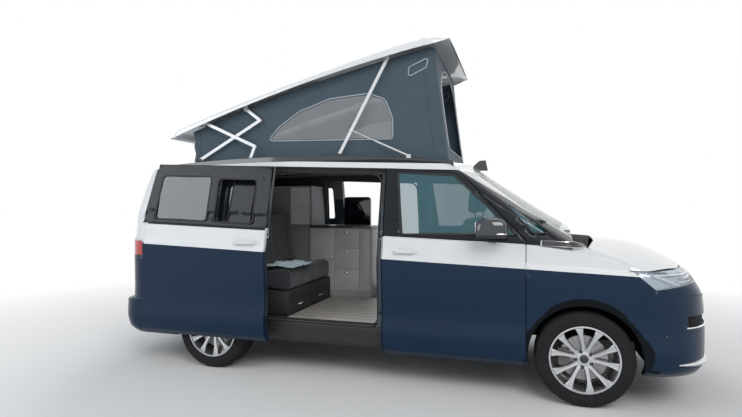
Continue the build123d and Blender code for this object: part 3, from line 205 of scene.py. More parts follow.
def top_of(points, stations, half, smooth):
    """Point of a crowned surface above or below each point, with its distance."""
    x, y, z = points.T
    centre, edge = [profile_at(stations, x, column, smooth) for column in (1, 2)]
    sag = centre - edge
    radius = (half ** 2 + sag ** 2) / (2 * sag)
    new_z = centre - radius + np.sqrt(radius ** 2 - np.minimum(y ** 2, radius ** 2 / 2))
    inside = (x > stations[0][0]) & (x < stations[-1][0])
    return np.stack([x, y, new_z], 1), np.where(inside, np.abs(new_z - z), FAR_AWAY)


def on_body(points, smooth, which):
    """Nearest point on the named body surfaces, with its distance."""
    best = points.copy()
    best_far = np.full(len(points), FAR_AWAY)
    for name in which:
        if name == "lower":
            new, far = side_of(points, LOWER, LOWER_RADII, 0.0, smooth)
        elif name == "green":
            new, far = side_of(points, GREENHOUSE, GREEN_RADII, 0.0, smooth)
        elif name == "roof":
            new, far = top_of(points, ROOF_ROWS, ROOF_SAG_Y, smooth)
        else:
            new, far = top_of(points, BONNET_CROWN, BONNET_EDGE_Y, smooth)
        nearer = far < best_far
        best[nearer] = new[nearer]
        best_far = np.minimum(best_far, far)
    return best, best_far


def vectors_of(items, key, kind=float):
    """One vector of each vertex or face of a mesh, as an N by 3 array."""
    flat = np.zeros(len(items) * 3, kind)
    items.foreach_get(key, flat)
    return flat.reshape(-1, 3)


def smooth_shade(mesh, angle=None):
    """Smooth faces. With an angle in degrees, steeper edges stay sharp."""
    mesh.polygons.foreach_set("use_smooth", [True] * len(mesh.polygons))
    if angle is not None:
        mesh.set_sharp_from_angle(angle=radians(angle))


def linked(name, mesh):
    """New object for a mesh, in the scene."""
    piece = bpy.data.objects.new(name, mesh)
    scene.collection.objects.link(piece)
    return piece


# Body panels: how near the faceted surface a point counts as on it, how far it may move, how fine they get
SKIN_REACH = 0.004
SETTLE_LIMIT = 0.030
PANEL_EDGE = 0.055
PANEL_ROUNDS = 7
PANEL_ANGLE = 28.0
MERGE = 1e-5


def settle(mesh, which):
    """Moves the points that lie on the faceted body surface onto the smooth one."""
    points = vectors_of(mesh.vertices, "co")
    settled = np.zeros(len(points), bool)
    for name in which:
        straight, far = on_body(points, False, (name,))
        on_it = far < SKIN_REACH
        curved, _ = on_body(points, True, (name,))
        reach = np.linalg.norm(curved - straight, axis=1)
        use = on_it & ~settled & (reach < SETTLE_LIMIT)
        points[use] = curved[use]
        settled |= on_it
    mesh.vertices.foreach_set("co", points.reshape(-1))
    mesh.update()


def refined(node, which, shift):
    """A finer, smooth copy of a panel, in its place. shift is how far the panel lies from shut."""
    source = nodes[node]
    name = node + "_skin"
    bm = bmesh.new()
    bm.from_mesh(source.data)
    bmesh.ops.remove_doubles(bm, verts=bm.verts, dist=MERGE)
    bmesh.ops.triangulate(bm, faces=bm.faces)
    for _ in range(PANEL_ROUNDS):
        long_edges = [e for e in bm.edges if e.calc_length() > PANEL_EDGE]
        if not long_edges:
            break
        bmesh.ops.subdivide_edges(bm, edges=long_edges, cuts=1, use_grid_fill=True)
        bmesh.ops.triangulate(bm, faces=bm.faces)
    mesh = bpy.data.meshes.new(name)
    bm.to_mesh(mesh)
    bm.free()
    mesh.transform(Matrix.Translation(-Vector(shift)))
    settle(mesh, which)
    mesh.transform(Matrix.Translation(Vector(shift)))
    smooth_shade(mesh, PANEL_ANGLE)
    piece = linked(name, mesh)
    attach(piece, source["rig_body"])
    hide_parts(node)
    return piece


# Materials
def material(name, build):
    """New node material, filled by a function that gets its node tree and its shader."""
    mat = bpy.data.materials.new(name)
    mat.use_nodes = True
    tree = mat.node_tree
    build(tree, tree.nodes["Principled BSDF"])
    return mat


def shade(colour, factor):
    """Colour made darker or lighter."""
    return tuple(min(1.0, c * factor) for c in colour)


class Graph:
    """Short way to add and join nodes."""

    def __init__(self, tree):
        self.tree = tree
        self.coord = None

    def add(self, kind, **values):
        """New node with some of its properties set."""
        node = self.tree.nodes.new(kind)
        for key, value in values.items():
            setattr(node, key, value)
        return node

    def link(self, a, b):
        """Joins an output to an input."""
        self.tree.links.new(a, b)

    def place(self):
        """Object coordinates, which are the van's own metres."""
        if self.coord is None:
            self.coord = self.add("ShaderNodeTexCoord").outputs["Object"]
        return self.coord

    def math(self, operation, a, b=None, c=None, clamp=False):
        """Math node on numbers or outputs of other nodes."""
        node = self.add("ShaderNodeMath", operation=operation, use_clamp=clamp)
        for socket, value in zip(node.inputs, (a, b, c)):
            if value is None:
                continue
            if isinstance(value, (int, float)):
                socket.default_value = value
            else:
                self.link(value, socket)
        return node.outputs[0]

    def less(self, a, b):
        """1 where a is less than b."""
        return self.math("LESS_THAN", a, b)

    def more(self, a, b):
        """1 where a is greater than b."""
        return self.math("GREATER_THAN", a, b)

    def times(self, a, b):
        """Product of a and b."""
        return self.math("MULTIPLY", a, b)

    def scaled(self, a, factor, offset, clamp=False):
        """a times a factor, plus an offset."""
        return self.math("MULTIPLY_ADD", a, factor, offset, clamp)

    def xyz(self):
        """The three coordinates, each as an output."""
        node = self.add("ShaderNodeSeparateXYZ")
        self.link(self.place(), node.inputs[0])
        return node.outputs

    def noise(self, scale, detail=3.0):
        """Cloudy pattern between 0 and 1."""
        node = self.add("ShaderNodeTexNoise")
        node.inputs["Scale"].default_value = scale
        node.inputs["Detail"].default_value = detail
        node.inputs["Roughness"].default_value = 0.5
        self.link(self.place(), node.inputs["Vector"])
        return node.outputs["Fac"]

    def mix(self, fac, a, b):
        """Blend of two colours, each a tuple or an output."""
        node = self.add("ShaderNodeMix", data_type="RGBA")
        for socket, value in ((node.inputs[0], fac), (node.inputs[6], a), (node.inputs[7], b)):
            if isinstance(value, (int, float)):
                socket.default_value = value
            elif isinstance(value, tuple):
                socket.default_value = (*value, 1.0)
            else:
                self.link(value, socket)
        return node.outputs[2]

    def ramp(self, fac, low, high):
        """0 up to low, 1 from high on."""
        node = self.add("ShaderNodeMapRange")
        self.link(fac, node.inputs[0])
        node.inputs[1].default_value = low
        node.inputs[2].default_value = high
        return node.outputs[0]

    def bump(self, height, strength, distance, shader):
        """Fine relief on a shader's surface."""
        node = self.add("ShaderNodeBump")
        node.inputs["Strength"].default_value = strength
        node.inputs["Distance"].default_value = distance
        self.link(height, node.inputs["Height"])
        self.link(node.outputs[0], shader.inputs["Normal"])


COAT_ROUGH = 0.04
ROUGH_SPREAD = 0.12
GRAIN_DEPTH = 0.0006
WAVE_TURN = 6.283


def plain(name, colour, rough, metal=0.0, coat=0.0, grain=0.0, grain_scale=400.0, vary=0.12, vary_scale=6.0,
          specular=None):
    """Solid finish with a little variation in colour and a fine grain."""
    def build(tree, shader):
        g = Graph(tree)
        tint = g.mix(g.noise(vary_scale), shade(colour, 1 - vary), shade(colour, 1 + vary))
        g.link(tint, shader.inputs["Base Color"])
        spread = g.scaled(g.noise(vary_scale * 5), ROUGH_SPREAD, rough - ROUGH_SPREAD / 2, clamp=True)
        g.link(spread, shader.inputs["Roughness"])
        shader.inputs["Metallic"].default_value = metal
        shader.inputs["Coat Weight"].default_value = coat
        shader.inputs["Coat Roughness"].default_value = COAT_ROUGH
        if specular is not None:
            shader.inputs["Specular IOR Level"].default_value = specular
        if grain > 0:
            g.bump(g.noise(grain_scale, 2.0), grain, GRAIN_DEPTH, shader)
    return material(name, build)


def fabric(name, colour, scale=900.0, rough=0.9, sheen=0.3, alpha=1.0):
    """Woven cloth: crossed waves for the weave."""
    def build(tree, shader):
        g = Graph(tree)
        weave = None
        for direction in ("X", "Z", "Y"):
            wave = g.add("ShaderNodeTexWave", bands_direction=direction)
            wave.inputs["Scale"].default_value = scale / WAVE_TURN
            wave.inputs["Distortion"].default_value = 0.4
            g.link(g.place(), wave.inputs["Vector"])
            thread = wave.outputs["Fac"]
            weave = thread if weave is None else g.math("MULTIPLY_ADD", thread, 0.5, weave)
        cloud = g.times(g.noise(5.0, 4.0), 0.6)
        blend = g.scaled(weave, 0.25, cloud, clamp=True)
        g.link(g.mix(blend, shade(colour, 0.82), shade(colour, 1.16)), shader.inputs["Base Color"])
        shader.inputs["Roughness"].default_value = rough
        shader.inputs["Sheen Weight"].default_value = sheen
        shader.inputs["Alpha"].default_value = alpha
        g.bump(weave, 0.25, GRAIN_DEPTH, shader)
    return material(name, build)


WHITE = (0.74, 0.76, 0.78)
BLUE = (0.002, 0.015, 0.038)
BLACK_GLOSS = (0.006, 0.009, 0.014)
GREEN_TINT = (0.030, 0.150, 0.190)
# Black zone round the side glass: it ends at two leaning lines, each a lean per height and a limit along X
FRONT_LEAN, FRONT_LIMIT = 1.623, 3.590
REAR_LEAN, REAR_LIMIT = 0.12, -2.37
BLACK_MIN_Y = 0.60
# Black cant rail over the doors
RAIL_LOW_Z = 1.834
RAIL_FRONT_X = 0.74
RAIL_MIN_Y = 0.70
# Black zone round the tailgate's glass
TAIL_BLACK_Z = (1.275, 1.790)
TAIL_BLACK_Y = 0.80


def paint_build(on_tailgate=False, shift=(0.0, 0.0)):
    """Two-tone paint: blue below the split line, white above, black round the side or the tail glass."""
    def build(tree, shader):
        g = Graph(tree)
        x, y, z = g.xyz()
        wide = g.math("ABSOLUTE", y)
        x = g.math("SUBTRACT", x, shift[0])
        z = g.math("SUBTRACT", z, shift[1])
        split = g.math("ADD", z, g.times(x, -SPLIT_RISE))
        belt = g.math("ADD", z, g.times(x, -RISE))
        behind = g.less(g.math("ADD", x, g.times(z, FRONT_LEAN)), FRONT_LIMIT)
        ahead = g.more(g.math("SUBTRACT", x, g.times(z, REAR_LEAN)), REAR_LIMIT)
        level = g.times(g.more(belt, BELT_Z + 0.004), g.less(belt, DOOR_TOP_Z + 0.002))
        black = g.times(g.times(level, g.times(behind, ahead)), g.more(wide, BLACK_MIN_Y))
        rail = g.times(g.more(belt, RAIL_LOW_Z), g.less(x, RAIL_FRONT_X))
        rail = g.times(rail, g.more(wide, RAIL_MIN_Y))
        black = g.math("MAXIMUM", black, g.times(rail, ahead))
        if on_tailgate:
            tail = g.times(g.more(z, TAIL_BLACK_Z[0]), g.less(z, TAIL_BLACK_Z[1]))
            black = g.times(tail, g.less(wide, TAIL_BLACK_Y))
        flake = g.scaled(g.noise(900.0, 1.0), 0.5, 0.75)
        blue = g.mix(flake, shade(BLUE, 0.7), shade(BLUE, 1.35))
        white = g.mix(g.noise(3.0), shade(WHITE, 0.985), WHITE)
        colour = g.mix(g.less(split, SPLIT_Z), white, blue)
        g.link(g.mix(black, colour, BLACK_GLOSS), shader.inputs["Base Color"])
        g.link(g.scaled(g.noise(40.0), 0.06, 0.22), shader.inputs["Roughness"])
        shader.inputs["Specular IOR Level"].default_value = 0.15
        shader.inputs["Coat Weight"].default_value = 0.22
        shader.inputs["Coat Roughness"].default_value = 0.03
        g.bump(g.noise(260.0, 2.0), 0.02, 0.0003, shader)
    return build


PAINT = material("two_tone_paint", paint_build())
PAINT_TAIL = material("two_tone_paint_tail", paint_build(on_tailgate=True))
PAINT_SLID = material("two_tone_paint_slid", paint_build(shift=(SLIDE_SHIFT[0], SLIDE_SHIFT[2])))
BLUE_JAMB = plain("jamb_blue", (0.008, 0.022, 0.042), 0.35, coat=0.4, vary=0.05)
RUBBER = plain("seal_rubber", (0.012, 0.012, 0.013), 0.7, grain=0.2)
LINING = fabric("headliner", (0.055, 0.052, 0.050), scale=700.0)
REFLECTOR = plain("lamp_reflector", (0.42, 0.50, 0.58), 0.22, metal=0.75, vary=0.08)
LIGHT_GUIDE = plain("light_guide", (0.86, 0.90, 0.94), 0.25, coat=0.5, vary=0.02)
RED = plain("red_reflector", (0.45, 0.012, 0.010), 0.2, coat=0.8, grain=0.3, grain_scale=300, vary=0.1)
SILVER = plain("brushed_silver", (0.72, 0.74, 0.76), 0.25, metal=0.9, grain=0.1, grain_scale=500, vary=0.04)
DISC = plain("brake_disc", (0.34, 0.34, 0.35), 0.35, metal=0.9, vary=0.1, vary_scale=30)
PIPING = plain("piping", (0.42, 0.46, 0.50), 0.6, vary=0.05)
TRIM = plain("trim_grey", (0.16, 0.165, 0.17), 0.62, grain=0.25)
BLACK = plain("black_plastic", (0.022, 0.023, 0.025), 0.55, grain=0.3)
GLOSS = plain("gloss_black", BLACK_GLOSS, 0.12, coat=1.0, vary=0.05)
WHITE_PAINT = plain("white_paint", WHITE, 0.24, coat=1.0, vary=0.015, vary_scale=2.0)
STEEL = plain("black_steel", (0.03, 0.03, 0.032), 0.5, metal=0.3, grain=0.2, grain_scale=150)
CAST = plain("cast_iron", (0.16, 0.15, 0.145), 0.6, metal=0.7, grain=0.4, grain_scale=220)
ALLOY = plain("alloy", (0.62, 0.63, 0.65), 0.28, metal=0.9, vary=0.04)
ARM = plain("anodised_arm", (0.66, 0.67, 0.69), 0.42, metal=0.35, vary=0.04)
CHROME = plain("chrome", (0.85, 0.86, 0.88), 0.08, metal=1.0, vary=0.02)
# Near-black with a low specular level: painted shade on the flare bands round the wheel arches, and the real
# black of wheelhouses, front structure and tread plates
BLACK_LINER_AND_ARCH_SHADE = plain("liner_black_and_arch_shade", (0.004, 0.006, 0.009), 0.75, vary=0.08, specular=0.15)


def glass(name, tint, alpha):
    """Thin tinted glass."""
    def build(tree, shader):
        g = Graph(tree)
        g.link(g.mix(g.noise(4.0), tint, shade(tint, 1.1)), shader.inputs["Base Color"])
        shader.inputs["Roughness"].default_value = 0.02
        shader.inputs["IOR"].default_value = 1.45
        shader.inputs["Alpha"].default_value = alpha
        shader.inputs["Coat Weight"].default_value = 1.0
        shader.inputs["Coat Roughness"].default_value = 0.0
    return material(name, build)


CLEAR_ALPHA = 0.42
GLASS_CLEAR = glass("glass_green", GREEN_TINT, CLEAR_ALPHA)
GLASS_DARK = glass("glass_privacy", (0.010, 0.014, 0.020), 0.90)
LAMP_GLASS = glass("lamp_glass", (0.55, 0.60, 0.66), 0.30)
# Margins of the windscreen: side place plus lean times height, where the black edge and the pillar begin
PILLAR_LEAN = 0.361
FRIT_START = 1.160
PILLAR_START = 1.178


def windscreen_build(tree, shader):
    """Clear glass whose side margins are painted as the pillars."""
    g = Graph(tree)
    x, y, z = g.xyz()
    margin = g.math("ADD", g.math("ABSOLUTE", y), g.times(z, PILLAR_LEAN))
    pillar = g.more(margin, PILLAR_START)
    frit = g.more(margin, FRIT_START)
    behind = g.less(g.math("ADD", x, g.times(z, FRONT_LEAN)), FRONT_LIMIT)
    painted = g.mix(behind, WHITE, BLACK_GLOSS)
    colour = g.mix(frit, GREEN_TINT, BLACK_GLOSS)
    g.link(g.mix(pillar, colour, painted), shader.inputs["Base Color"])
    g.link(g.scaled(frit, 1 - CLEAR_ALPHA, CLEAR_ALPHA), shader.inputs["Alpha"])
    shader.inputs["Roughness"].default_value = 0.08
    shader.inputs["Coat Weight"].default_value = 1.0
    shader.inputs["Coat Roughness"].default_value = 0.0


WINDSCREEN = material("windscreen_glass", windscreen_build)
SEAT_GREY = fabric("seat_grey", (0.20, 0.205, 0.215))
CANVAS = fabric("tent_canvas", (0.058, 0.086, 0.112), scale=1400.0, sheen=0.15)
FURNITURE = plain("furniture_grey", (0.42, 0.43, 0.445), 0.5, grain=0.12)


def tyre_build(tree, shader):
    """Dull black rubber."""
    g = Graph(tree)
    g.link(g.mix(g.noise(30.0), (0.008, 0.009, 0.011), (0.018, 0.018, 0.020)), shader.inputs["Base Color"])
    shader.inputs["Roughness"].default_value = 0.82
    shader.inputs["Specular IOR Level"].default_value = 0.25
    g.bump(g.noise(300.0), 0.3, 0.0008, shader)


TYRE = material("tyre_rubber", tyre_build)


def dress(node, finish):
    """Gives a CAD node that stays its finish."""
    mesh = nodes[node].data
    mesh.materials.clear()
    mesh.materials.append(finish)
    mesh.polygons.foreach_set("material_index", [0] * len(mesh.polygons))
    smooth_shade(mesh, 30)


def offset(shift, side):
    """A shift given for the left side, on the chosen side."""
    return np.array([shift[0], side * shift[1], shift[2]])


ALL_SKINS = ("lower", "green", "roof", "bonnet")
DOOR_SKINS = ("lower", "green")
# Zones of a dressed panel, in the order of its materials
SKIN, INSIDE, ARCH_SHADE, JAMB = range(4)
SKIN_DEEP = 0.030
JAMB_MIN_Y = 0.80
# Flare band round each wheel arch, painted near-black as shade: how far out it starts, and its radii from the
# axle with their slack
ARCH_MIN_Y = 0.60
ARCH_R = 0.392
ARCH_SLACK = 0.006
FLARE_R = 0.476
FLARE_SLACK = 0.004
OFF_SKIN = 0.0015
# Pillars: where they stand, and how far their painted faces turn outwards or up
PILLAR_MIN_X = 0.74
PILLAR_MIN_Y = 0.45
PILLAR_UNDER_BELT = 0.01
PILLAR_OUTWARD = 0.25
PILLAR_UPWARD = 0.45
# Boxes round the door handles, where the recess is painted too: x and z ranges, doors shut
HANDLE_PLACES = {"front_door": [(0.190, 0.480, 1.060, 1.170)],
                 "sliding_door": [(-0.220, 0.110, 1.070, 1.160)]}
HANDLE_MIN_Y = 0.90


def dressed_panel(node, outside, inside, which=ALL_SKINS, jamb=None, shift=None):
    """Smooth copy of a body panel: paint on its skin, painted shade on arch flares, other finishes on jambs
    and inner faces.
    """
    back = np.zeros(3) if shift is None else offset(shift, 1 if "left" in node else -1)
    mesh = refined(node, which, back).data
    for finish in (outside, inside, BLACK_LINER_AND_ARCH_SHADE, jamb or inside):
        mesh.materials.append(finish)
    centres = vectors_of(mesh.polygons, "center") - back
    facing = vectors_of(mesh.polygons, "normal")
    _, far = on_body(centres, True, which)
    x, y, z = centres.T
    wide = np.abs(y)
    zone = np.where(far < SKIN_DEEP, SKIN, INSIDE)
    zone[(zone == INSIDE) & (wide > JAMB_MIN_Y)] = JAMB
    if shift is None:
        # Flare bands round the wheel arches get near-black painted shade where the bevel faces down
        for axle_x in (AXLE_F, AXLE_R):
            radius = np.hypot(x - axle_x, z - TYRE_R)
            off_skin = (far > OFF_SKIN) | (radius < ARCH_R + ARCH_SLACK)
            zone[(radius < FLARE_R + FLARE_SLACK) & (wide > ARCH_MIN_Y) & off_skin] = ARCH_SHADE
    outward = facing[:, 1] * np.sign(y)
    pillar = (x > PILLAR_MIN_X) & (z - RISE * x > BELT_Z - PILLAR_UNDER_BELT) & (wide > PILLAR_MIN_Y)
    zone[pillar & ((outward > PILLAR_OUTWARD) | (facing[:, 2] > PILLAR_UPWARD))] = SKIN
    for x0, x1, z0, z1 in HANDLE_PLACES.get(node.rsplit("_", 1)[0], []):
        zone[(x > x0) & (x < x1) & (z > z0) & (z < z1) & (wide > HANDLE_MIN_Y)] = SKIN
    mesh.polygons.foreach_set("material_index", zone.astype(np.int32))


for _, word in SIDES:
    dressed_panel("body_side_" + word, PAINT, LINING, jamb=BLUE_JAMB)
    dressed_panel("front_door_" + word, PAINT, TRIM, DOOR_SKINS, BLUE_JAMB)
    dressed_panel("sliding_door_" + word, PAINT_SLID, TRIM, DOOR_SKINS, BLUE_JAMB, SLIDE_SHIFT)
dressed_panel("front_fenders", PAINT, BLACK, ("lower", "bonnet"))
dressed_panel("front_bumper", PAINT, BLACK, ("lower",))
dressed_panel("bonnet", WHITE_PAINT, BLACK, ("lower", "bonnet"))
dressed_panel("tailgate", PAINT_TAIL, TRIM)
dressed_panel("rear_bumper", PAINT, BLACK, ("lower",))
dressed_panel("roof_panel", WHITE_PAINT, LINING, ("roof", "green"))
dressed_panel("headlamps", LAMP_GLASS, REFLECTOR, ("lower",))
dressed_panel("tail_lamps", RED, RED, ("lower",))


# Small mesh parts. Each maker returns points and faces.
def net(loops, count, ring=True, closed=False, base=0):
    """Faces between loops of count points. ring joins a loop's ends, closed the last loop to the first."""
    faces = []
    for k in range(loops if closed else loops - 1):
        a = base + k * count
        b = base + (k + 1) % loops * count
        for j in range(count if ring else count - 1):
            n = (j + 1) % count
            faces.append((a + j, a + n, b + n, b + j))
    return faces


def heading(pts, k, closed):
    """Direction of a line of points at its point k."""
    ahead = pts[(k + 1) % len(pts)] if closed or k + 1 < len(pts) else pts[k]
    behind = pts[k - 1] if closed or k > 0 else pts[k]
    return (ahead - behind).normalized()


def tube(points, radius, sides=8, closed=False):
    """Round tube along a line of points. The radius is one number or one for each point."""
    pts = [Vector(p) for p in points]
    count = len(pts)
    verts = []
    up = None
    for k, p in enumerate(pts):
        way = heading(pts, k, closed)
        if up is None:
            up = way.orthogonal().normalized()
        up = (up - way * up.dot(way)).normalized()
        across = way.cross(up)
        size = radius[k] if isinstance(radius, (list, tuple)) else radius
        for j in range(sides):
            angle = 2 * pi * j / sides
            verts.append(p + (up * cos(angle) + across * sin(angle)) * size)
    faces = net(count, sides, closed=closed)
    if not closed:
        faces.append(tuple(range(sides))[::-1])
        faces.append(tuple((count - 1) * sides + j for j in range(sides)))
    return verts, faces


def block(x0, x1, y0, y1, z0, z1, bevel=0.0):
    """Box with its edges rounded."""
    bm = bmesh.new()
    bmesh.ops.create_cube(bm, size=1.0)
    for v in bm.verts:
        v.co = Vector(((x0 + x1) / 2 + v.co.x * (x1 - x0), (y0 + y1) / 2 + v.co.y * (y1 - y0),
                       (z0 + z1) / 2 + v.co.z * (z1 - z0)))
    if bevel > 0:
        bmesh.ops.bevel(bm, geom=bm.edges[:], offset=bevel, segments=3, profile=0.5, affect="EDGES")
    bm.verts.index_update()
    verts = [v.co.copy() for v in bm.verts]
    faces = [tuple(v.index for v in f.verts) for f in bm.faces]
    bm.free()
    return verts, faces


def lathe(profile, steps, centre, flip=1):
    """Outline of (radius, y) turned about the Y axis through a centre."""
    verts = []
    for k in range(steps):
        angle = 2 * pi * k / steps
        for r, y in profile:
            verts.append((centre[0] + r * cos(angle), centre[1] + flip * y, centre[2] + r * sin(angle)))
    return verts, net(steps, len(profile), ring=False, closed=True)


def built(name, parts, finishes, body="root", angle=35.0, merge=0.0):
    """One piece from several parts. Each part is points, faces and, unless 0, the number of its finish."""
    verts, faces, numbers = [], [], []
    for part in parts:
        base = len(verts)
        verts += [tuple(v) for v in part[0]]
        faces += [tuple(i + base for i in f) for f in part[1]]
        numbers += [part[2] if len(part) > 2 else 0] * len(part[1])
    mesh = bpy.data.meshes.new(name)
    mesh.from_pydata(verts, [], faces)
    for finish in finishes:
        mesh.materials.append(finish)
    mesh.polygons.foreach_set("material_index", numbers)
    bm = bmesh.new()
    bm.from_mesh(mesh)
    if merge > 0:
        bmesh.ops.remove_doubles(bm, verts=bm.verts, dist=merge)
    bmesh.ops.recalc_face_normals(bm, faces=bm.faces)
    bm.to_mesh(mesh)
    bm.free()
    smooth_shade(mesh, angle)
    piece = linked(name, mesh)
    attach(piece, body)
    return piece


def outline_y(x, z, table, radii):
    """Distance of the body's side from the middle, seen square from the side."""
    _, (side, nose, tail) = section_at(table, x, z)
    nose_r, front_r, tail_r, rear_r = radii
    half = HALF_W - side
    y = half.copy()
    for sign, end, corner_r, big_r in ((1, HALF_L - nose, front_r, nose_r),
                                       (-1, HALF_L - tail, rear_r, tail_r)):
        corner_x = end - big_r + np.sqrt((big_r - corner_r) ** 2 - (half - corner_r) ** 2)
        u = sign * x - corner_x
        turn = np.arctan2(half - corner_r, corner_x - (end - big_r))
        limit = corner_r * np.cos(turn)
        on_corner = (u > 0) & (u <= limit)
        y = np.where(on_corner, half - corner_r + np.sqrt(np.maximum(corner_r ** 2 - u ** 2, 0)), y)
        v = sign * x - (end - big_r)
        y = np.where(u > limit, np.sqrt(np.maximum(big_r ** 2 - v ** 2, 0)), y)
    return y


def on_side(points, side=-1, out=0.0, shift=None):
    """Places (x, z) points on the side of the body, a little proud or set in."""
    x, z = np.array(points, float).T
    low = outline_y(x, z, LOWER, LOWER_RADII)
    high = outline_y(x, z, GREENHOUSE, GREEN_RADII)
    y = np.where(z - RISE * x > BELT_Z, high, low) + out
    placed = np.stack([x, side * y, z], 1)
    if shift is not None:
        placed += offset(shift, side)
    return placed


def along(points, step=0.02, closed=False):
    """Points spread evenly along a line of corners."""
    corners = list(points) + ([points[0]] if closed else [])
    found = []
    for p, q in zip(corners, corners[1:]):
        size = sqrt(sum((a - b) ** 2 for a, b in zip(p, q)))
        count = max(1, int(size / step))
        found += [tuple(a + (b - a) * k / count for a, b in zip(p, q)) for k in range(count)]
    if not closed:
        found.append(tuple(corners[-1]))
    return found


def rounded(points, radius, steps=6):
    """Outline with its corners rounded. The radius is one number or one for each corner."""
    found = []
    count = len(points)
    for k, p in enumerate(points):
        r = radius[k] if isinstance(radius, (list, tuple)) else radius
        a = Vector(points[k - 1]) - Vector(p)
        b = Vector(points[(k + 1) % count]) - Vector(p)
        turn = a.angle(b)
        reach = min(r / np.tan(turn / 2), a.length * 0.48, b.length * 0.48)
        start = Vector(p) + a.normalized() * reach
        end = Vector(p) + b.normalized() * reach
        for j in range(steps + 1):
            t = j / steps
            found.append(tuple(start * (1 - t) ** 2 + Vector(p) * 2 * t * (1 - t) + end * t * t))
    return found


def band(outer, inner, place, low, high):
    """Flat ring between two outlines with as many points each, from depth low to depth high."""
    loops = [place(outer, low), place(outer, high), place(inner, high), place(inner, low)]
    verts = [tuple(v) for loop in loops for v in loop]
    return verts, net(len(loops), len(outer), closed=True)


def sheet_patch(outline, place, low, high, rings=4):
    """Filled outline as a thin slab that follows a surface."""
    flat = np.array(outline, float)
    middle = flat.mean(0)
    count = len(flat)
    verts, faces = [], []
    for depth in (high, low):
        base = len(verts)
        for k in range(rings):
            loop = middle + (flat - middle) * (1 - k / rings)
            verts += [tuple(v) for v in place([tuple(p) for p in loop], depth)]
        verts.append(tuple(place([tuple(middle)], depth)[0]))
        faces += net(rings, count, base=base)
        last = base + (rings - 1) * count
        faces += [(last + j, last + (j + 1) % count, base + rings * count) for j in range(count)]
    other = rings * count + 1
    faces += [(j, (j + 1) % count, other + (j + 1) % count, other + j) for j in range(count)]
    return verts, faces


def inset_outline(points, amount):
    """Outline moved inwards about its middle, by about the amount."""
    flat = np.array(points, float)
    middle = flat.mean(0)
    away = flat - middle
    size = np.linalg.norm(away, axis=1)[:, None]
    return [tuple(p) for p in middle + away * (1 - amount / size)]


# Side glass: outlines in (x, z), as cut in the body
FRONT_WINDOW = [(0.300, 1.236), (0.246, 1.744), (0.712, 1.716), (1.010, 1.436), (1.200, 1.240)]
SLIDE_OPEN = [(-0.385, 1.282), (-0.385, 1.680), (0.012, 1.664), (0.012, 1.270)]
SLIDE_GLASS = [(-1.010, 1.310), (-0.985, 1.718), (-0.450, 1.700), (-0.450, 1.290)]
QUARTER_REAR = [(-2.130, 1.360), (-2.050, 1.740), (-1.270, 1.722), (-1.300, 1.322)]
QUARTER_FRONT = [(1.100, 1.500), (1.440, 1.262), (1.310, 1.256)]
DOOR_REAR_X = 0.158
SLIDE_FRONT_X = DOOR_REAR_X - 0.012
SLIDE_REAR_X = SLIDE_FRONT_X - 1.192
# Sliding doorway: outline and corner radii of its rubber, and how deep it lies
DOORWAY = [(SLIDE_FRONT_X - 0.052, 0.488), (SLIDE_FRONT_X - 0.052, 1.733), (SLIDE_REAR_X + 0.045, 1.780),
           (SLIDE_REAR_X - 0.030, 0.488)]
DOORWAY_RADII = [0.05, 0.10, 0.06, 0.12]
DOORWAY_DEEP = 0.080
# Trim strip under the front quarter window, and the small lens in the crease of the front door
FENDER_STRIP = [(1.366, 1.166), (1.700, 1.153), (1.655, 1.186), (1.600, 1.200), (1.366, 1.206)]
SIDE_LENS = [(0.936, 1.026), (0.976, 1.026), (0.976, 1.038), (0.936, 1.038)]
# Bright line at the foot of the door windows: from where to where, and how far over the belt
BELT_TRIM_X = (0.165, 1.250)
BELT_TRIM_RISE = 0.003
# Window seals: how far they reach over the glass and the body, and from which depth to which
SEAL_OVER_GLASS = 0.012
SEAL_OVER_BODY = 0.003
SEAL_DEPTHS = (-0.005, 0.0012)


def side_place(side, shift=None):
    """Placing function for a side of the body, or for its open sliding door."""
    def place(points, depth):
        return on_side(points, side, depth, shift)
    return place


def window_seals(side, word):
    """Seals round the side windows."""
    for label, outline, radius, body, shift in (
            ("front_window_seal_", FRONT_WINDOW, 0.018, "door_" + word, None),
            ("quarter_seal_", QUARTER_FRONT, 0.012, "root", None),
            ("rear_window_seal_", QUARTER_REAR, 0.060, "root", None),
            ("slide_window_seal_", SLIDE_OPEN, 0.045, "root", SLIDE_SHIFT),
            ("slide_glass_seal_", SLIDE_GLASS, 0.045, "root", SLIDE_SHIFT)):
        edge = along(rounded(outline, radius), 0.03, True)
        inner = inset_outline(edge, SEAL_OVER_GLASS)
        outer = inset_outline(edge, -SEAL_OVER_BODY)
        seal = band(outer, inner, side_place(side, shift), *SEAL_DEPTHS)
        built(label + word, [seal], [RUBBER], body)


def side_trims(side, word):
    """Rubber of the sliding doorway, bright belt line, trim strip and small lens."""
    place = side_place(side)
    loop = along(rounded(DOORWAY, DOORWAY_RADII), 0.04, True)
    rubber = tube(place(loop, -DOORWAY_DEEP), 0.009, 8, True)
    built("doorway_rubber_" + word, [rubber], [RUBBER])
    belt_line = [(x, BELT_Z + RISE * x + BELT_TRIM_RISE) for x in np.linspace(*BELT_TRIM_X, 24)]
    belt = tube(place(belt_line, 0.001), 0.0035, 6)
    built("belt_trim_" + word, [belt], [CHROME], "door_" + word)
    edge = along(rounded(FENDER_STRIP, 0.006), 0.02, True)
    frame_ring = band(edge, inset_outline(edge, 0.006), place, 0.001, 0.0035)
    built("fender_strip_" + word, [sheet_patch(edge, place, -0.002, 0.0015), (*frame_ring, 1)],
          [GLOSS, CHROME])
    lens = sheet_patch(rounded(SIDE_LENS, 0.004, 4), place, -0.001, 0.002)
    built("side_lens_" + word, [lens], [SILVER], "door_" + word)


for side, word in SIDES:
    window_seals(side, word)
    side_trims(side, word)

# Nose: places on its plan outline are angles from ahead, turned about a point inside it
NOSE_CENTRE_X = 1.55
NOSE_START_R = 1.2
NOSE_ROUNDS = 12
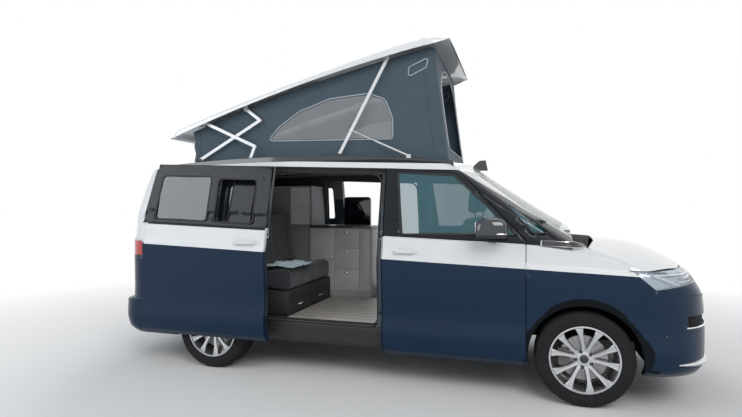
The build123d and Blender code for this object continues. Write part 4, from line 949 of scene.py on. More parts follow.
# Headlamp: its outer and inner end, and the height of its two light guides
LAMP_TIP = atan2(0.94, 0.44)
LAMP_END = atan2(0.575, 0.955)
GUIDE_HIGH_Z = 0.975
GUIDE_LOW_Z = 0.925
GUIDE_END_Z = 0.905
EYE_Z = 0.948
# Corner vent: heights of its bars and its lower edge
VENT_BARS = (0.625, 0.640, 0.655, 0.670, 0.684)
VENT_LOW_Z = 0.6115
LIP_Z = 0.362
# Seam of the upper fascia: height in the middle and at its outer end
FASCIA_LOW_Z = 0.800
FASCIA_HIGH_Z = 0.877
LIP_POINTS = 26
LIP_FLARE = 12


def around(t, z, inset):
    """Points on the plan outline of the nose at angles t, set in a little."""
    t = np.array(t, float)
    z = np.broadcast_to(np.array(z, float), t.shape).copy()
    near = np.stack([NOSE_CENTRE_X + NOSE_START_R * np.cos(t), NOSE_START_R * np.sin(t), z], 1)
    for _ in range(NOSE_ROUNDS):
        new, _ = side_of(near, LOWER, LOWER_RADII, inset, True)
        radius = np.hypot(new[:, 0] - NOSE_CENTRE_X, new[:, 1])
        near = np.stack([NOSE_CENTRE_X + radius * np.cos(t), radius * np.sin(t), z], 1)
    new, _ = side_of(near, LOWER, LOWER_RADII, inset, True)
    return new


def on_nose(side, t, z, inset):
    """Points on the chosen side of the nose."""
    return around(t, z, inset) * (1, side, 1)


def headlamp_guides(side, word):
    """Light guides and eyes behind the clear lens."""
    lower_end = LAMP_TIP - 0.26
    upper = on_nose(side, np.linspace(LAMP_TIP - 0.10, LAMP_END + 0.03, 26), GUIDE_HIGH_Z, 0.022)
    lower = on_nose(side, np.linspace(lower_end, LAMP_END + 0.03, 22), GUIDE_LOW_Z, 0.022)
    falling = np.linspace(GUIDE_HIGH_Z, GUIDE_END_Z, 8)
    slanted = on_nose(side, np.linspace(LAMP_TIP - 0.10, lower_end, 8), falling, 0.018)
    parts = [tube(upper, 0.006), tube(lower, 0.005), tube(slanted, 0.006)]
    for t in np.linspace(LAMP_TIP - 0.36, LAMP_END + 0.10, 4):
        eye = on_nose(side, [t], EYE_Z, 0.028)[0]
        parts.append((*tube([eye, eye + Vector((0.012, 0.003 * side, 0))], 0.013, 16), 1))
    built("headlamp_guides_" + word, parts, [LIGHT_GUIDE, CHROME])


def bumper_details(side, word):
    """Seam of the upper fascia, parking sensor, corner vent with a bright lip, and the lower lip."""
    sweep = np.linspace(atan2(0.90, 0.57), atan2(0.20, 1.0), 30)
    share = (sweep - sweep[-1]) / (sweep[0] - sweep[-1])
    height = FASCIA_LOW_Z + (FASCIA_HIGH_Z - FASCIA_LOW_Z) * share ** 2.2
    seam = tube(on_nose(side, sweep, height, -0.0005), 0.0028, 6)
    built("fascia_seam_" + word, [seam], [RUBBER])
    dot = on_nose(side, [atan2(0.885, 0.60)], 0.560, 0.0)[0]
    sensor = tube([dot, dot + np.array([0.0015, 0.002 * side, 0])], 0.010, 16)
    built("parking_sensor_" + word, [sensor], [GLOSS])
    vent = np.linspace(atan2(0.845, 0.74), atan2(0.49, 0.99), 22)
    parts = [tube(on_nose(side, vent, z, 0.020), 0.0022, 5) for z in VENT_BARS]
    parts += [tube(on_nose(side, [t, t], [0.612, 0.688], 0.021), 0.0020, 5) for t in vent[::2]]
    parts.append((*tube(on_nose(side, vent, VENT_LOW_Z, 0.002), 0.0065), 1))
    built("corner_vent_" + word, parts, [BLACK, CHROME])
    lip = np.linspace(atan2(0.90, 0.70), atan2(0.02, 1.03), LIP_POINTS)
    thick = [0.004 + 0.016 * sin(pi * min(1.0, k / LIP_FLARE)) + 0.004 * (k > LIP_FLARE)
             for k in range(LIP_POINTS)]
    lower_lip = tube(on_nose(side, lip, LIP_Z, -0.002), thick)
    built("lower_lip_" + word, [lower_lip], [SILVER])


for side, word in SIDES:
    headlamp_guides(side, word)
    bumper_details(side, word)

# Wheels. Profiles are outlines of (radius, y).
TYRE_WALL = [(0.2335, 0.098), (0.2370, 0.1055), (0.2450, 0.1085), (0.2520, 0.1090), (0.2540, 0.1120),
             (0.2570, 0.1125), (0.2600, 0.1120), (0.2800, 0.1155), (0.3000, 0.1172), (0.3020, 0.1165),
             (0.3150, 0.1150), (0.3260, 0.1105), (0.3340, 0.1050), (0.3400, 0.0970), (0.3440, 0.0860)]
TYRE_TREAD = [(0.3450, 0.0780), (0.3452, 0.0640), (0.3380, 0.0620), (0.3380, 0.0540), (0.3456, 0.0520),
              (0.3458, 0.0260), (0.3380, 0.0240), (0.3380, 0.0160), (0.3459, 0.0140), (0.3460, 0.0)]
TREAD_R = 0.3390
TREAD_PITCHES = 64
PITCH_STEPS = 4
SHOULDER_Y = 0.066
SHOULDER_SLOT = 0.0045
MIDDLE_SLOT = 0.003


def tyre_mesh(centre):
    """Road tyre with grooves round it and slots across the shoulders."""
    profile = TYRE_WALL + TYRE_TREAD
    profile = profile + [(r, -y) for r, y in profile[-2::-1]]
    steps = TREAD_PITCHES * PITCH_STEPS
    count = len(profile)
    verts = []
    for k in range(steps):
        angle = 2 * pi * k / steps
        cutting = k % PITCH_STEPS == 0
        wide_cut = k % (2 * PITCH_STEPS) == 0
        for r, y in profile:
            skew = angle + 0.25 * (abs(y) - 0.05) * (1 if y > 0 else -1)
            depth = 0.0
            if cutting and r > TREAD_R and abs(y) > SHOULDER_Y:
                depth = SHOULDER_SLOT
            if wide_cut and r > TREAD_R and 0.02 < abs(y) < 0.055:
                depth = MIDDLE_SLOT
            rr = r - depth
            verts.append((centre[0] + rr * cos(skew), centre[1] + y, centre[2] + rr * sin(skew)))
    faces = net(steps, count, ring=False, closed=True)
    for k in range(steps):
        a, b = k * count, (k + 1) % steps * count
        faces.append((a, b, b + count - 1, a + count - 1))
    return verts, faces


# Spoke pairs: angle of the first, and how far each spoke stands from its pair's middle, in degrees
SPOKE_PAIRS = 5
SPOKE_START = 81.0
SPOKE_AT_HUB = 12
SPOKE_AT_RIM = 18
# Spoke sections. Columns: radius, half width, outer face, depth.
SPOKE = [(0.052, 0.016, 0.0840, 0.022), (0.080, 0.0125, 0.0880, 0.024), (0.115, 0.0115, 0.0930, 0.026),
         (0.155, 0.0135, 0.0985, 0.028), (0.190, 0.0185, 0.1030, 0.030), (0.214, 0.0245, 0.1055, 0.032),
         (0.228, 0.0270, 0.1060, 0.034)]


def spoke_mesh(hub_angle, rim_angle, centre, flip):
    """Spoke that flares towards the rim, with a raised edge on one side."""
    lean = 1 if rim_angle > hub_angle else -1
    verts = []
    for r, half, face, depth in SPOKE:
        t = (r - SPOKE[0][0]) / (SPOKE[-1][0] - SPOKE[0][0])
        angle = radians(hub_angle + (rim_angle - hub_angle) * t)
        out = np.array([cos(angle), 0, sin(angle)])
        across = np.array([-sin(angle), 0, cos(angle)])
        # Columns: across, depth below the face
        section = [(-1.0, 0.003), (-0.86, 0.0), (0.25 * lean, 0.0015), (0.86, 0.0), (1.0, 0.003),
                   (0.85, depth), (-0.85, depth)]
        for u, d in section:
            p = out * r + across * u * half
            verts.append((centre[0] + p[0], centre[1] + flip * (face - d), centre[2] + p[2]))
    n = len(section)
    faces = net(len(SPOKE), n)
    faces.append(tuple(range(n)))
    faces.append(tuple((len(SPOKE) - 1) * n + j for j in range(n))[::-1])
    return verts, faces


BARREL = [(0.2440, 0.1130), (0.2425, 0.1135), (0.2330, 0.1125), (0.2305, 0.1080), (0.2290, 0.0900),
          (0.2230, 0.0500), (0.2180, 0.0000), (0.2180, -0.0700), (0.2250, -0.1060), (0.2440, -0.1130),
          (0.2440, -0.1080), (0.2310, -0.1060), (0.2310, 0.1060), (0.2440, 0.1080), (0.2440, 0.1130)]
HUB = [(0.0, 0.0800), (0.0300, 0.0800), (0.0310, 0.0850), (0.0350, 0.0860), (0.0480, 0.0845),
       (0.0700, 0.0780), (0.0760, 0.0700), (0.0740, 0.0420), (0.0, 0.0420)]
CAP = [(0.0, 0.0868), (0.0200, 0.0866), (0.0285, 0.0850), (0.0295, 0.0810)]
DISC_PROFILE = [(0.0745, 0.0400), (0.0900, 0.0405), (0.0905, 0.0400), (0.1640, 0.0400), (0.1650, 0.0390),
                (0.1650, 0.0160), (0.1640, 0.0150), (0.0745, 0.0150), (0.0400, 0.0150), (0.0400, -0.0550),
                (0.0, -0.0550)]
# Wheel bolts: ring they stand on, turn from a spoke pair in degrees, radii of bolt and seat
BOLT_RING_R = 0.056
BOLT_TURN = 31
BOLT_R = 0.0125
BOLT_SEAT_R = 0.0165
BOLT_SEAT_RISE = 0.003
BOLT_LOW = 0.080
BOLT_HIGH = 0.0885
DISC_SLOTS = 30
DISC_FACE = 0.0402


def wheel(end, side, word, axle_x):
    """Tyre and rim of one wheel, as two pieces."""
    place = "%s_%s" % (end, word)
    body = "wheel_" + place
    centre = (axle_x, side * TRACK_HALF, TYRE_R)
    tyre = built("tyre_%s_tread" % place, [tyre_mesh(centre)], [TYRE], body, 50.0)
    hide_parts("tyre_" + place)
    parts = [(*lathe(BARREL, 96, centre, side), 0), (*lathe(HUB, 60, centre, side), 0),
             (*lathe(CAP, 40, centre, side), 1), (*lathe(DISC_PROFILE, 72, centre, side), 2)]

    def spot(r, angle, y):
        return centre[0] + r * cos(angle), centre[1] + side * y, centre[2] + r * sin(angle)

    for k in range(SPOKE_PAIRS):
        middle = SPOKE_START + 360 / SPOKE_PAIRS * k
        for lean in (-1, 1):
            hub_angle, rim_angle = middle + lean * SPOKE_AT_HUB, middle + lean * SPOKE_AT_RIM
            parts.append((*spoke_mesh(hub_angle, rim_angle, centre, side), 0))
        bolt = radians(middle + BOLT_TURN)
        low = spot(BOLT_RING_R, bolt, BOLT_LOW)
        parts.append((*tube([low, spot(BOLT_RING_R, bolt, BOLT_HIGH)], BOLT_R, 6), 1))
        seat = [low, spot(BOLT_RING_R, bolt, BOLT_LOW + BOLT_SEAT_RISE)]
        parts.append((*tube(seat, BOLT_SEAT_R, 20), 3))
    for k in range(DISC_SLOTS):
        angle = 2 * pi * k / DISC_SLOTS
        slot_line = [spot(r, angle, DISC_FACE) for r in (0.1, 0.158)]
        parts.append((*tube(slot_line, 0.0012, 4), 3))
    rim = built("rim_%s_spokes" % place, parts, [ALLOY, GLOSS, DISC, BLACK], body, 30.0)
    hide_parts("rim_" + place)


for end, axle_x in (("front", AXLE_F), ("rear", AXLE_R)):
    for side, word in SIDES:
        wheel(end, side, word, axle_x)


# Pop-up roof: shaped shut, then turned up about its pole
POLE = (-2.9896, 2.056)
RAISE = radians(15.4)
RIM = [(-2.100, 1.868), (-0.600, 1.915), (0.700, 1.840)]
# Lower edge of the shell over the rim line, and how far it rises at both ends
SHELL_OVER_RIM = 0.0015
SHELL_END_RISE = 0.016


def arc_height(points, x):
    """Height at x on the circle through three points."""
    (x1, z1), (x2, z2), (x3, z3) = points
    a, b, c, d = x1 - x2, z1 - z2, x1 - x3, z1 - z3
    e = ((x1 ** 2 - x2 ** 2) + (z1 ** 2 - z2 ** 2)) / 2
    f = ((x1 ** 2 - x3 ** 2) + (z1 ** 2 - z3 ** 2)) / 2
    det = a * d - b * c
    cx, cz = (d * e - b * f) / det, (a * f - c * e) / det
    return cz + sqrt((x1 - cx) ** 2 + (z1 - cz) ** 2 - (x - cx) ** 2)


def rim_z(x):
    """Height at x of the rim that the tent stands on."""
    return arc_height(RIM, x)


def shell_low(x):
    """Lower edge of the shell: it rises a little off the roof at both ends."""
    front = min(1.0, max(0.0, (x - 0.600) / 0.120))
    rear = min(1.0, max(0.0, (-2.030 - x) / 0.050))
    return rim_z(x) + SHELL_OVER_RIM + SHELL_END_RISE * front + SHELL_END_RISE * rear


def raised(x, y, z):
    """A point of the shut roof, in the raised pose."""
    dx, dz = x - POLE[0], z - POLE[1]
    return POLE[0] + dx * cos(RAISE) - dz * sin(RAISE), y, POLE[1] + dx * sin(RAISE) + dz * cos(RAISE)


# Shell stations. Columns: station, half width, top height, sag to the side, corner drop.
SHELL_OUT = [(-2.100, 0.700, 1.884, 0.006, 0.004), (-1.975, 0.742, 1.957, 0.022, 0.020),
             (-0.700, 0.750, 1.990, 0.026, 0.024), (0.300, 0.750, 1.966, 0.026, 0.024),
             (0.600, 0.735, 1.932, 0.026, 0.024), (0.745, 0.680, 1.874, 0.012, 0.012)]
SHELL_CORNER = 0.032
SHELL_STEPS = 90
SHELL_THICK = 0.010
# Lugs under the shell for bars, struts and rails, roof shut. Columns: y, x and z ranges.
LUGS = [(0.6555, 0.6677, -1.264, -1.220, 1.900, 1.960), (0.7023, 0.735, -1.694, -1.650, 1.891, 1.950),
        (0.7130, 0.7210, 0.170, 0.285, 1.893, 1.945), (0.7130, 0.7210, 0.284, 0.560, 1.905, 1.925)]


def shell_rings(thin):
    """Half sections of the shell, smooth along its length. thin sets the skin in."""
    rear, front = SHELL_OUT[0][0], SHELL_OUT[-1][0]
    even = np.linspace(0, 1, SHELL_STEPS + 1)
    eased = 0.5 - 0.5 * np.cos(np.pi * even)
    x0, x1 = rear + thin, front - thin
    stations = x0 + (x1 - x0) * (0.6 * even + 0.4 * eased)
    half, top, sag, corner = [profile_at(SHELL_OUT, stations, column) for column in (1, 2, 3, 4)]
    rings = []
    for x, h, t, s, c in zip(stations, half, top, sag, corner):
        h, t = h - thin, t - thin
        low = shell_low(x)
        end = min(x - rear, front - x)
        t = max(low + 0.004, t - max(0.0, 0.014 - end) * 0.8)
        flat = h - SHELL_CORNER
        ring = [(y, t - s * (y / h) ** 2) for y in np.linspace(0, flat, 12)]
        edge = ring[-1][1]
        drop = min(SHELL_CORNER, (edge - low) * 0.7)
        ring += [(flat + SHELL_CORNER * sin(a), edge - c * 0.4 * (1 - cos(a)) - drop * (1 - cos(a)) * 0.9)
                 for a in np.linspace(0.2, pi / 2, 7)]
        ring += [(h, low + (ring[-1][1] - low) * k) for k in (0.66, 0.33, 0.0)]
        rings.append([(x, y, z) for y, z in ring])
    return rings


def shell_skin(rings):
    """Both halves of a skin, in the raised pose, as points and faces."""
    verts, faces = [], []
    for sign in (1, -1):
        faces += net(len(rings), len(rings[0]), ring=False, base=len(verts))
        verts += [raised(x, sign * y, z) for ring in rings for x, y, z in ring]
    return verts, faces


def shell_parts():
    """Outer and inner skin, joined round their edges, and the lugs."""
    rings = shell_rings(0.0)
    outer, outer_faces = shell_skin(rings)
    inner, inner_faces = shell_skin(shell_rings(SHELL_THICK))
    count, per, last = len(outer), len(rings[0]), len(rings) - 1
    faces = outer_faces + [tuple(i + count for i in f) for f in inner_faces]
    for base in (0, len(rings) * per):
        side_edge = [base + k * per + per - 1 for k in range(len(rings))]
        front_edge = [base + last * per + j for j in range(per)]
        rear_edge = [base + j for j in range(per)]
        for loop in (side_edge, front_edge, rear_edge):
            faces += [(a, b, b + count, a + count) for a, b in zip(loop, loop[1:])]
    parts = [(outer + inner, faces)]
    for y0, y1, x0, x1, low, high in LUGS:
        for sign in (1, -1):
            points, lug_faces = block(x0, x1, *sorted((sign * y0, sign * y1)), low, high, 0.002)
            parts.append(([raised(*p) for p in points], lug_faces, 1))
    return parts


shell_piece = built("roof_shell_skin", shell_parts(), [WHITE_PAINT, ARM], "pop_roof", 50.0,
                    MERGE)
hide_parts("roof_shell")


def shell_seals():
    """Dark seal under the shell's edge, along both sides and across the front."""
    stations = np.linspace(-2.09, 0.735, 60)
    half = profile_at(SHELL_OUT, stations, 1)
    for side, word in SIDES:
        line = [raised(x, side * (y - 0.006), shell_low(x) + 0.004) for x, y in zip(stations, half)]
        built("shell_seal_" + word, [tube(line, 0.0045)], [RUBBER], "pop_roof")
    line = [raised(0.738, y, shell_low(0.738) + 0.006) for y in np.linspace(-0.675, 0.675, 24)]
    built("shell_seal_front", [tube(line, 0.0045)], [RUBBER], "pop_roof")


shell_seals()

# Tent: one curved sheet round the frame, with its windows, seams and folds
TENT_HALF = 0.650
TENT_CORNER = 0.075
# Rear and front end of the tent at the bottom and, with the roof shut, at the top
TENT_LOW = (-1.880, 0.646)
TENT_TOP = (-1.900, 0.600)
TENT_LENGTH = TENT_LOW[1] - TENT_LOW[0]
TENT_UNDER_RIM = 0.0047
TENT_OVER_RIM = 0.004
TENT_CELL = 0.017
TENT_ROWS = 44
TENT_THICK = 0.0016
MESH_WINDOW = [(-1.045, 2.074), (-0.930, 2.200), (-0.720, 2.335), (-0.420, 2.430), (-0.060, 2.455),
               (0.095, 2.395), (0.160, 2.230), (0.165, 2.045)]
MESH_WINDOW_RADII = [0.03, 0.05, 0.06, 0.06, 0.06, 0.08, 0.08, 0.03]
FRONT_ARCH_HALF = 0.50
FRONT_ARCH_LOW = 1.960
FRONT_ARCH_SPRING = 2.420
FRONT_ARCH_RISE = 0.320
FRONT_ARCH_CUT = 0.04
# Parts of the sheet that count as its side walls and as its open front
WALL_MIN_Y = 0.6
OPEN_MAX_Y = 0.56
OPEN_MIN_X = 0.3
VENT = [(0.300, 2.590), (0.305, 2.655), (0.455, 2.715), (0.470, 2.700), (0.455, 2.640), (0.320, 2.580)]
TENT_MESH = fabric("insect_mesh", (0.30, 0.32, 0.34), scale=2600.0, alpha=0.55)


def tent_ring():
    """Plan of the tent from the front middle round: share of the length, y, and the outward direction."""
    r = TENT_CORNER
    flat_y = TENT_HALF - r
    share = r / TENT_LENGTH

    def line(p, q, out):
        n = max(1, int(hypot((q[0] - p[0]) * TENT_LENGTH, q[1] - p[1]) / TENT_CELL))
        return [(p[0] + (q[0] - p[0]) * k / n, p[1] + (q[1] - p[1]) * k / n, *out) for k in range(n)]

    def corner(cx, cy, start):
        return [(cx + share * cos(start + a), cy + r * sin(start + a), cos(start + a), sin(start + a))
                for a in np.linspace(0, pi / 2, 8)[:-1]]

    return [*line((1.0, 0.0), (1.0, flat_y), (1.0, 0.0)), *corner(1 - share, flat_y, 0.0),
            *line((1 - share, TENT_HALF), (share, TENT_HALF), (0.0, 1.0)), *corner(share, flat_y, pi / 2),
            *line((0.0, flat_y), (0.0, -flat_y), (-1.0, 0.0)), *corner(share, -flat_y, pi),
            *line((share, -TENT_HALF), (1 - share, -TENT_HALF), (0.0, -1.0)),
            *corner(1 - share, -flat_y, 1.5 * pi), *line((1.0, -flat_y), (1.0, 0.0), (1.0, 0.0))]


def tent_place(u, y, v):
    """Point of the tight sheet at a share of the length, a side place and a share of the height."""
    low_x = TENT_LOW[0] + TENT_LENGTH * u
    top_x = TENT_TOP[0] + (TENT_TOP[1] - TENT_TOP[0]) * u
    tx, _, tz = raised(top_x, y, rim_z(top_x) + TENT_OVER_RIM)
    low_z = rim_z(low_x) - TENT_UNDER_RIM
    return Vector((low_x + (tx - low_x) * v, y, low_z + (tz - low_z) * v))


def inside_outline(points, outline):
    """True for the points inside a closed outline, both in a plane."""
    flat = np.array(outline, float)
    x, z = points[..., 0], points[..., 1]
    found = np.zeros(x.shape, bool)
    for (x0, z0), (x1, z1) in zip(flat, np.roll(flat, -1, 0)):
        crosses = (z0 > z) != (z1 > z)
        with np.errstate(divide="ignore", invalid="ignore"):
            where = (x1 - x0) * (z - z0) / (z1 - z0) + x0
        found ^= crosses & (x < where)
    return found


def snap(plane, outline, reach):
    """Moves the grid points near an outline onto it."""
    flat = np.array(outline, float)
    near = np.zeros_like(plane)
    best = np.full(plane.shape[:-1], FAR_AWAY)
    for a, b in zip(flat, np.roll(flat, -1, 0)):
        way = b - a
        t = np.clip(((plane - a) @ way) / (way @ way), 0, 1)
        spot = a + t[..., None] * way
        far = np.linalg.norm(plane - spot, axis=-1)
        use = far < best
        near[use] = spot[use]
        best = np.minimum(best, far)
    hit = best < reach
    plane = plane.copy()
    plane[hit] = near[hit]
    return plane


def arch_shape():
    """Outline of the open front arch in (y, z): straight sides, a round top and cut lower corners."""
    half, low, spring = FRONT_ARCH_HALF, FRONT_ARCH_LOW, FRONT_ARCH_SPRING
    outline = [(-half, low + 0.03), (-half, spring)]
    outline += [(half * -cos(a), spring + FRONT_ARCH_RISE * sin(a)) for a in np.linspace(0.1, pi - 0.1, 26)]
    return outline + [(half, spring), (half, low + 0.03), (half - FRONT_ARCH_CUT, low),
                      (-half + FRONT_ARCH_CUT, low)]


mesh_outline = rounded(MESH_WINDOW, MESH_WINDOW_RADII, 8)
vent_outline = rounded(VENT, 0.030, 5)
arch_outline = arch_shape()
tent_plan = tent_ring()


def tight_sheet():
    """Grid of the tight sheet, with its points snapped to the outlines of the windows, vents and arch."""
    grid = np.zeros((TENT_ROWS + 1, len(tent_plan), 3))
    for k in range(TENT_ROWS + 1):
        for j, (u, y, _, _) in enumerate(tent_plan):
            grid[k, j] = tent_place(u, y, k / TENT_ROWS)
    out_x, out_y = np.array(tent_plan)[:, 2:].T
    on_wall = np.where(np.abs(out_y) > 0.999)[0]
    on_front = np.where(out_x > 0.999)[0]
    for outline in (mesh_outline, vent_outline):
        plane = snap(grid[:, on_wall][..., [0, 2]], outline, TENT_CELL * 0.55)
        grid[:, on_wall, 0] = plane[..., 0]
        grid[:, on_wall, 2] = plane[..., 1]
    grid[:, on_front, 1:] = snap(grid[:, on_front][..., 1:], arch_outline, TENT_CELL * 0.6)
    return grid


def sag_at(x, y, z, v, nx, ny):
    """How far the slack cloth lies inside the tight one, with its folds."""
    belly = 0.009 * sin(pi * v) ** 0.8
    wall = x if abs(ny) > 0.5 else y
    near_foot = max(0.0, 1 - v / 0.16)
    near_top = max(0.0, (v - 0.93) / 0.07)
    gather = 0.0035 * sin(wall * 95.0 + 3.0 * noise.noise((x * 3, y * 3, 1.0))) * near_foot
    top_gather = 0.0020 * sin(wall * 120.0 + 4.0 * noise.noise((x * 4, y * 4, 5.0))) * near_top
    folds = 0.006 * noise.noise((x * 5.0, y * 5.0, z * 1.3))
    folds += 0.003 * noise.noise((x * 14.0, y * 14.0, z * 4.0))
    pleat = 0.005 * abs(nx * ny) * 2 * sin(z * 42.0)
    return belly + abs(gather) + top_gather * 0.5 + folds * sin(pi * min(1.0, v * 1.05)) + pleat


def tent_mesh():
    """The slack sheet as a mesh, open in the front arch, with the windows as insect mesh."""
    grid = tight_sheet()
    cols = len(tent_plan)
    verts, faces, kinds = [], [], []
    for k in range(TENT_ROWS + 1):
        for j, (_, _, nx, ny) in enumerate(tent_plan):
            x, y, z = grid[k, j]
            depth = sag_at(x, y, z, k / TENT_ROWS, nx, ny)
            verts.append((x - nx * depth, y - ny * depth, z))
    middle = (grid[:-1] + grid[1:]) / 2
    middle = (middle + np.roll(middle, -1, 1)) / 2
    wide = np.abs(middle[..., 1])
    in_window = inside_outline(middle[..., [0, 2]], mesh_outline) & (wide > WALL_MIN_Y)
    in_front = (middle[..., 0] > OPEN_MIN_X) & (wide < OPEN_MAX_Y)
    in_arch = inside_outline(middle[..., 1:], arch_outline) & in_front
    for k in range(TENT_ROWS):
        a, b = k * cols, (k + 1) * cols
        for j in range(cols):
            if in_arch[k, j]:
                continue
            n = (j + 1) % cols
            faces.append((a + j, a + n, b + n, b + j))
            kinds.append(1 if in_window[k, j] else 0)
    mesh = bpy.data.meshes.new("tent_sheet")
    mesh.from_pydata(verts, [], faces)
    for finish in (CANVAS, TENT_MESH, PIPING, RUBBER):
        mesh.materials.append(finish)
    mesh.polygons.foreach_set("material_index", kinds)
    return mesh


def on_tent(plane_points, side, lift):
    """Places (x, z) points on the sagged side sheet."""
    found = []
    for x, z in plane_points:
        v = 0.5
        for _ in range(12):
            u = 0.5
            for _ in range(8):
                u += (x - tent_place(u, 0, v).x) / TENT_LENGTH
            v = min(1.0, max(0.0, v + z - tent_place(u, 0, v).z))
        depth = sag_at(x, side * TENT_HALF, z, v, 0.0, side)
        found.append((x, side * (TENT_HALF - depth + lift), z))
    return found


def ribbon(points, half, lift, normal):
    """Flat tape along a closed line, with a slightly raised middle."""
    pts = [Vector(p) for p in points]
    up = Vector(normal)
    verts = []
    for k, p in enumerate(pts):
        across = heading(pts, k, True).cross(up)
        verts += [p - across * half, p + up * lift - across * half * 0.5, p + up * lift + across * half * 0.5,
                  p + across * half]
    return verts, net(len(pts), 4, ring=False, closed=True)


def tent_trims():
    """Tape and piping round the windows, vents and the front arch, and the seams beside the corners."""
    parts = []
    for side in (1, -1):
        loop = on_tent(along(mesh_outline, 0.02, True), side, 0.001)
        parts.append((*ribbon(loop, 0.011, 0.0022, (0, side, 0)), 0))
        parts.append((*tube([(x, y + side * 0.003, z) for x, y, z in loop], 0.0050, 6, True), 2))
        loop = on_tent(along(vent_outline, 0.012, True), side, 0.001)
        parts.append((*tube([(x, y + side * 0.002, z) for x, y, z in loop], 0.0050, 6, True), 2))
        for u, v0, v1 in ((0.955, 0.03, 0.985), (0.045, 0.06, 0.95)):
            seam = []
            for v in np.linspace(v0, v1, 40):
                p = tent_place(u, side * TENT_HALF, v)
                depth = sag_at(p.x, p.y, p.z, v, 0.0, side)
                seam.append((p.x, side * (TENT_HALF - depth + 0.0015), p.z))
            parts.append((*tube(seam, 0.0024, 5), 0))
    foot_z = rim_z(TENT_LOW[1]) - TENT_UNDER_RIM
    height = tent_place(1.0, 0, 1.0).z - tent_place(1.0, 0, 0.0).z
    loop = []
    for y, z in along(arch_outline, 0.02, True):
        v = (z - foot_z) / height
        x = tent_place(1.0, y, v).x
        loop.append((x - sag_at(x, y, z, v, 1.0, 0.0) + 0.003, y, z))
    parts.append((*tube(loop, 0.0070, 8, True), 2))
    return parts


def apply_modifiers(piece):
    """Replaces a piece's mesh by what its modifiers give."""
    bpy.context.view_layer.update()
    found = piece.evaluated_get(bpy.context.evaluated_depsgraph_get())
    mesh = bpy.data.meshes.new_from_object(found)
    piece.modifiers.clear()
    piece.data = mesh
    return mesh


def thicken(piece, name, thickness, offset_share):
    """Gives a sheet its thickness, on one or both sides."""
    solid = piece.modifiers.new(name, "SOLIDIFY")
    solid.thickness = thickness
    solid.offset = offset_share


tent_piece = linked("tent_sheet", tent_mesh())
thicken(tent_piece, "cloth_thickness", TENT_THICK, 0.0)
smooth_shade(apply_modifiers(tent_piece))
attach(tent_piece, "root")
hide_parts("tent")
trims = built("tent_piping", tent_trims(), [CANVAS, TENT_MESH, PIPING], "root", 60.0)
for soft_piece in (tent_piece, trims):
    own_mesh(soft_piece)


# Cushions: a smooth closed form, then a short cloth simulation, then its seams
CUSHION_VOXEL = 0.015
CUSHION_PRESSURE = 4.0
CUSHION_FRAMES = 20
CHANNEL_DEEP = 0.007
CHANNEL_REACH = 0.022
CREASE_DEEP = 0.0022
SEAT_DARK = fabric("seat_dark", (0.022, 0.026, 0.034))
SEAM_THREAD = plain("seam_cord", (0.10, 0.105, 0.115), 0.7, vary=0.05)


def padded_form(profile, y0, y1, inset, radius, edge):
    """Outline in (x, z) pushed across the van, with rounded ends."""
    outline = inset_outline(along(rounded(profile, radius, 5), 0.02, True), inset)
    y0, y1 = y0 + inset, y1 - inset
    loops = [(y0 + edge * (1 - cos(a)), edge * (1 - sin(a))) for a in np.linspace(0, pi / 2, 5)]
    loops += [(y0 + edge + (y1 - y0 - 2 * edge) * k / 12, 0.0) for k in range(1, 12)]
    loops += [(y0 + y1 - y, deep) for y, deep in loops[4::-1]]
    n = len(outline)
    verts = [(x, y, z) for y, deep in loops for x, z in inset_outline(outline, deep)]
    ends = [tuple(range(n)), tuple(range((len(loops) - 1) * n, len(loops) * n))]
    return verts, net(len(loops), n) + ends


def swollen(piece, cap):
    """Points of a piece after a short cloth simulation with pressure inside. None moves further than cap."""
    start = vectors_of(piece.data.vertices, "co")
    cloth = piece.modifiers.new("padding", "CLOTH")
    cloth.settings.use_pressure = True
    cloth.settings.uniform_pressure_force = CUSHION_PRESSURE
    cloth.settings.effector_weights.gravity = 0.0
    cloth.settings.quality = 4
    cloth.point_cache.frame_start = 1
    cloth.point_cache.frame_end = CUSHION_FRAMES
    for frame_number in range(1, CUSHION_FRAMES + 1):
        scene.frame_set(frame_number)
    mesh = apply_modifiers(piece)
    scene.frame_set(1)
    moved = vectors_of(mesh.vertices, "co") - start
    size = np.linalg.norm(moved, axis=1)[:, None]
    return start + moved * np.minimum(1.0, cap / np.maximum(size, 1e-9))


def inflated(name, form, cap, channels, voxel):
    """Padded piece. Channels are (point, direction) planes where the cover is sewn down."""
    mesh = bpy.data.meshes.new(name)
    mesh.from_pydata(form[0], [], form[1])
    piece = linked(name, mesh)
    remesh = piece.modifiers.new("even_mesh", "REMESH")
    remesh.mode = "VOXEL"
    remesh.voxel_size = voxel
    apply_modifiers(piece)
    points = swollen(piece, cap)
    mesh = piece.data
    normals = vectors_of(mesh.vertices, "normal", np.float32)
    for place, direction in channels:
        far = np.abs((points - np.array(place)) @ np.array(direction))
        deep = CHANNEL_DEEP * np.clip(1 - far / CHANNEL_REACH, 0, 1) ** 2
        points = points - normals * deep[:, None]
    creases = np.array([noise.noise(Vector(p) * 9.0) + 0.5 * noise.noise(Vector(p) * 24.0) for p in points])
    points = points + normals * (creases * CREASE_DEEP)[:, None]
    mesh.vertices.foreach_set("co", points.astype(np.float32).ravel())
    mesh.update()
    fine = piece.modifiers.new("smooth", "SUBSURF")
    fine.levels = fine.render_levels = 1
    mesh = apply_modifiers(piece)
    smooth_shade(mesh)
    mesh.update()
    return piece


def seam_on(tree, points, radius=0.0032, closed=True):
    """Cord along a line of points, laid on a padded piece."""
    placed = []
    for p in points:
        spot, normal, _, _ = tree.find_nearest(Vector(p))
        placed.append(spot + normal * radius * 0.35)
    return tube(placed, radius, 6, closed)


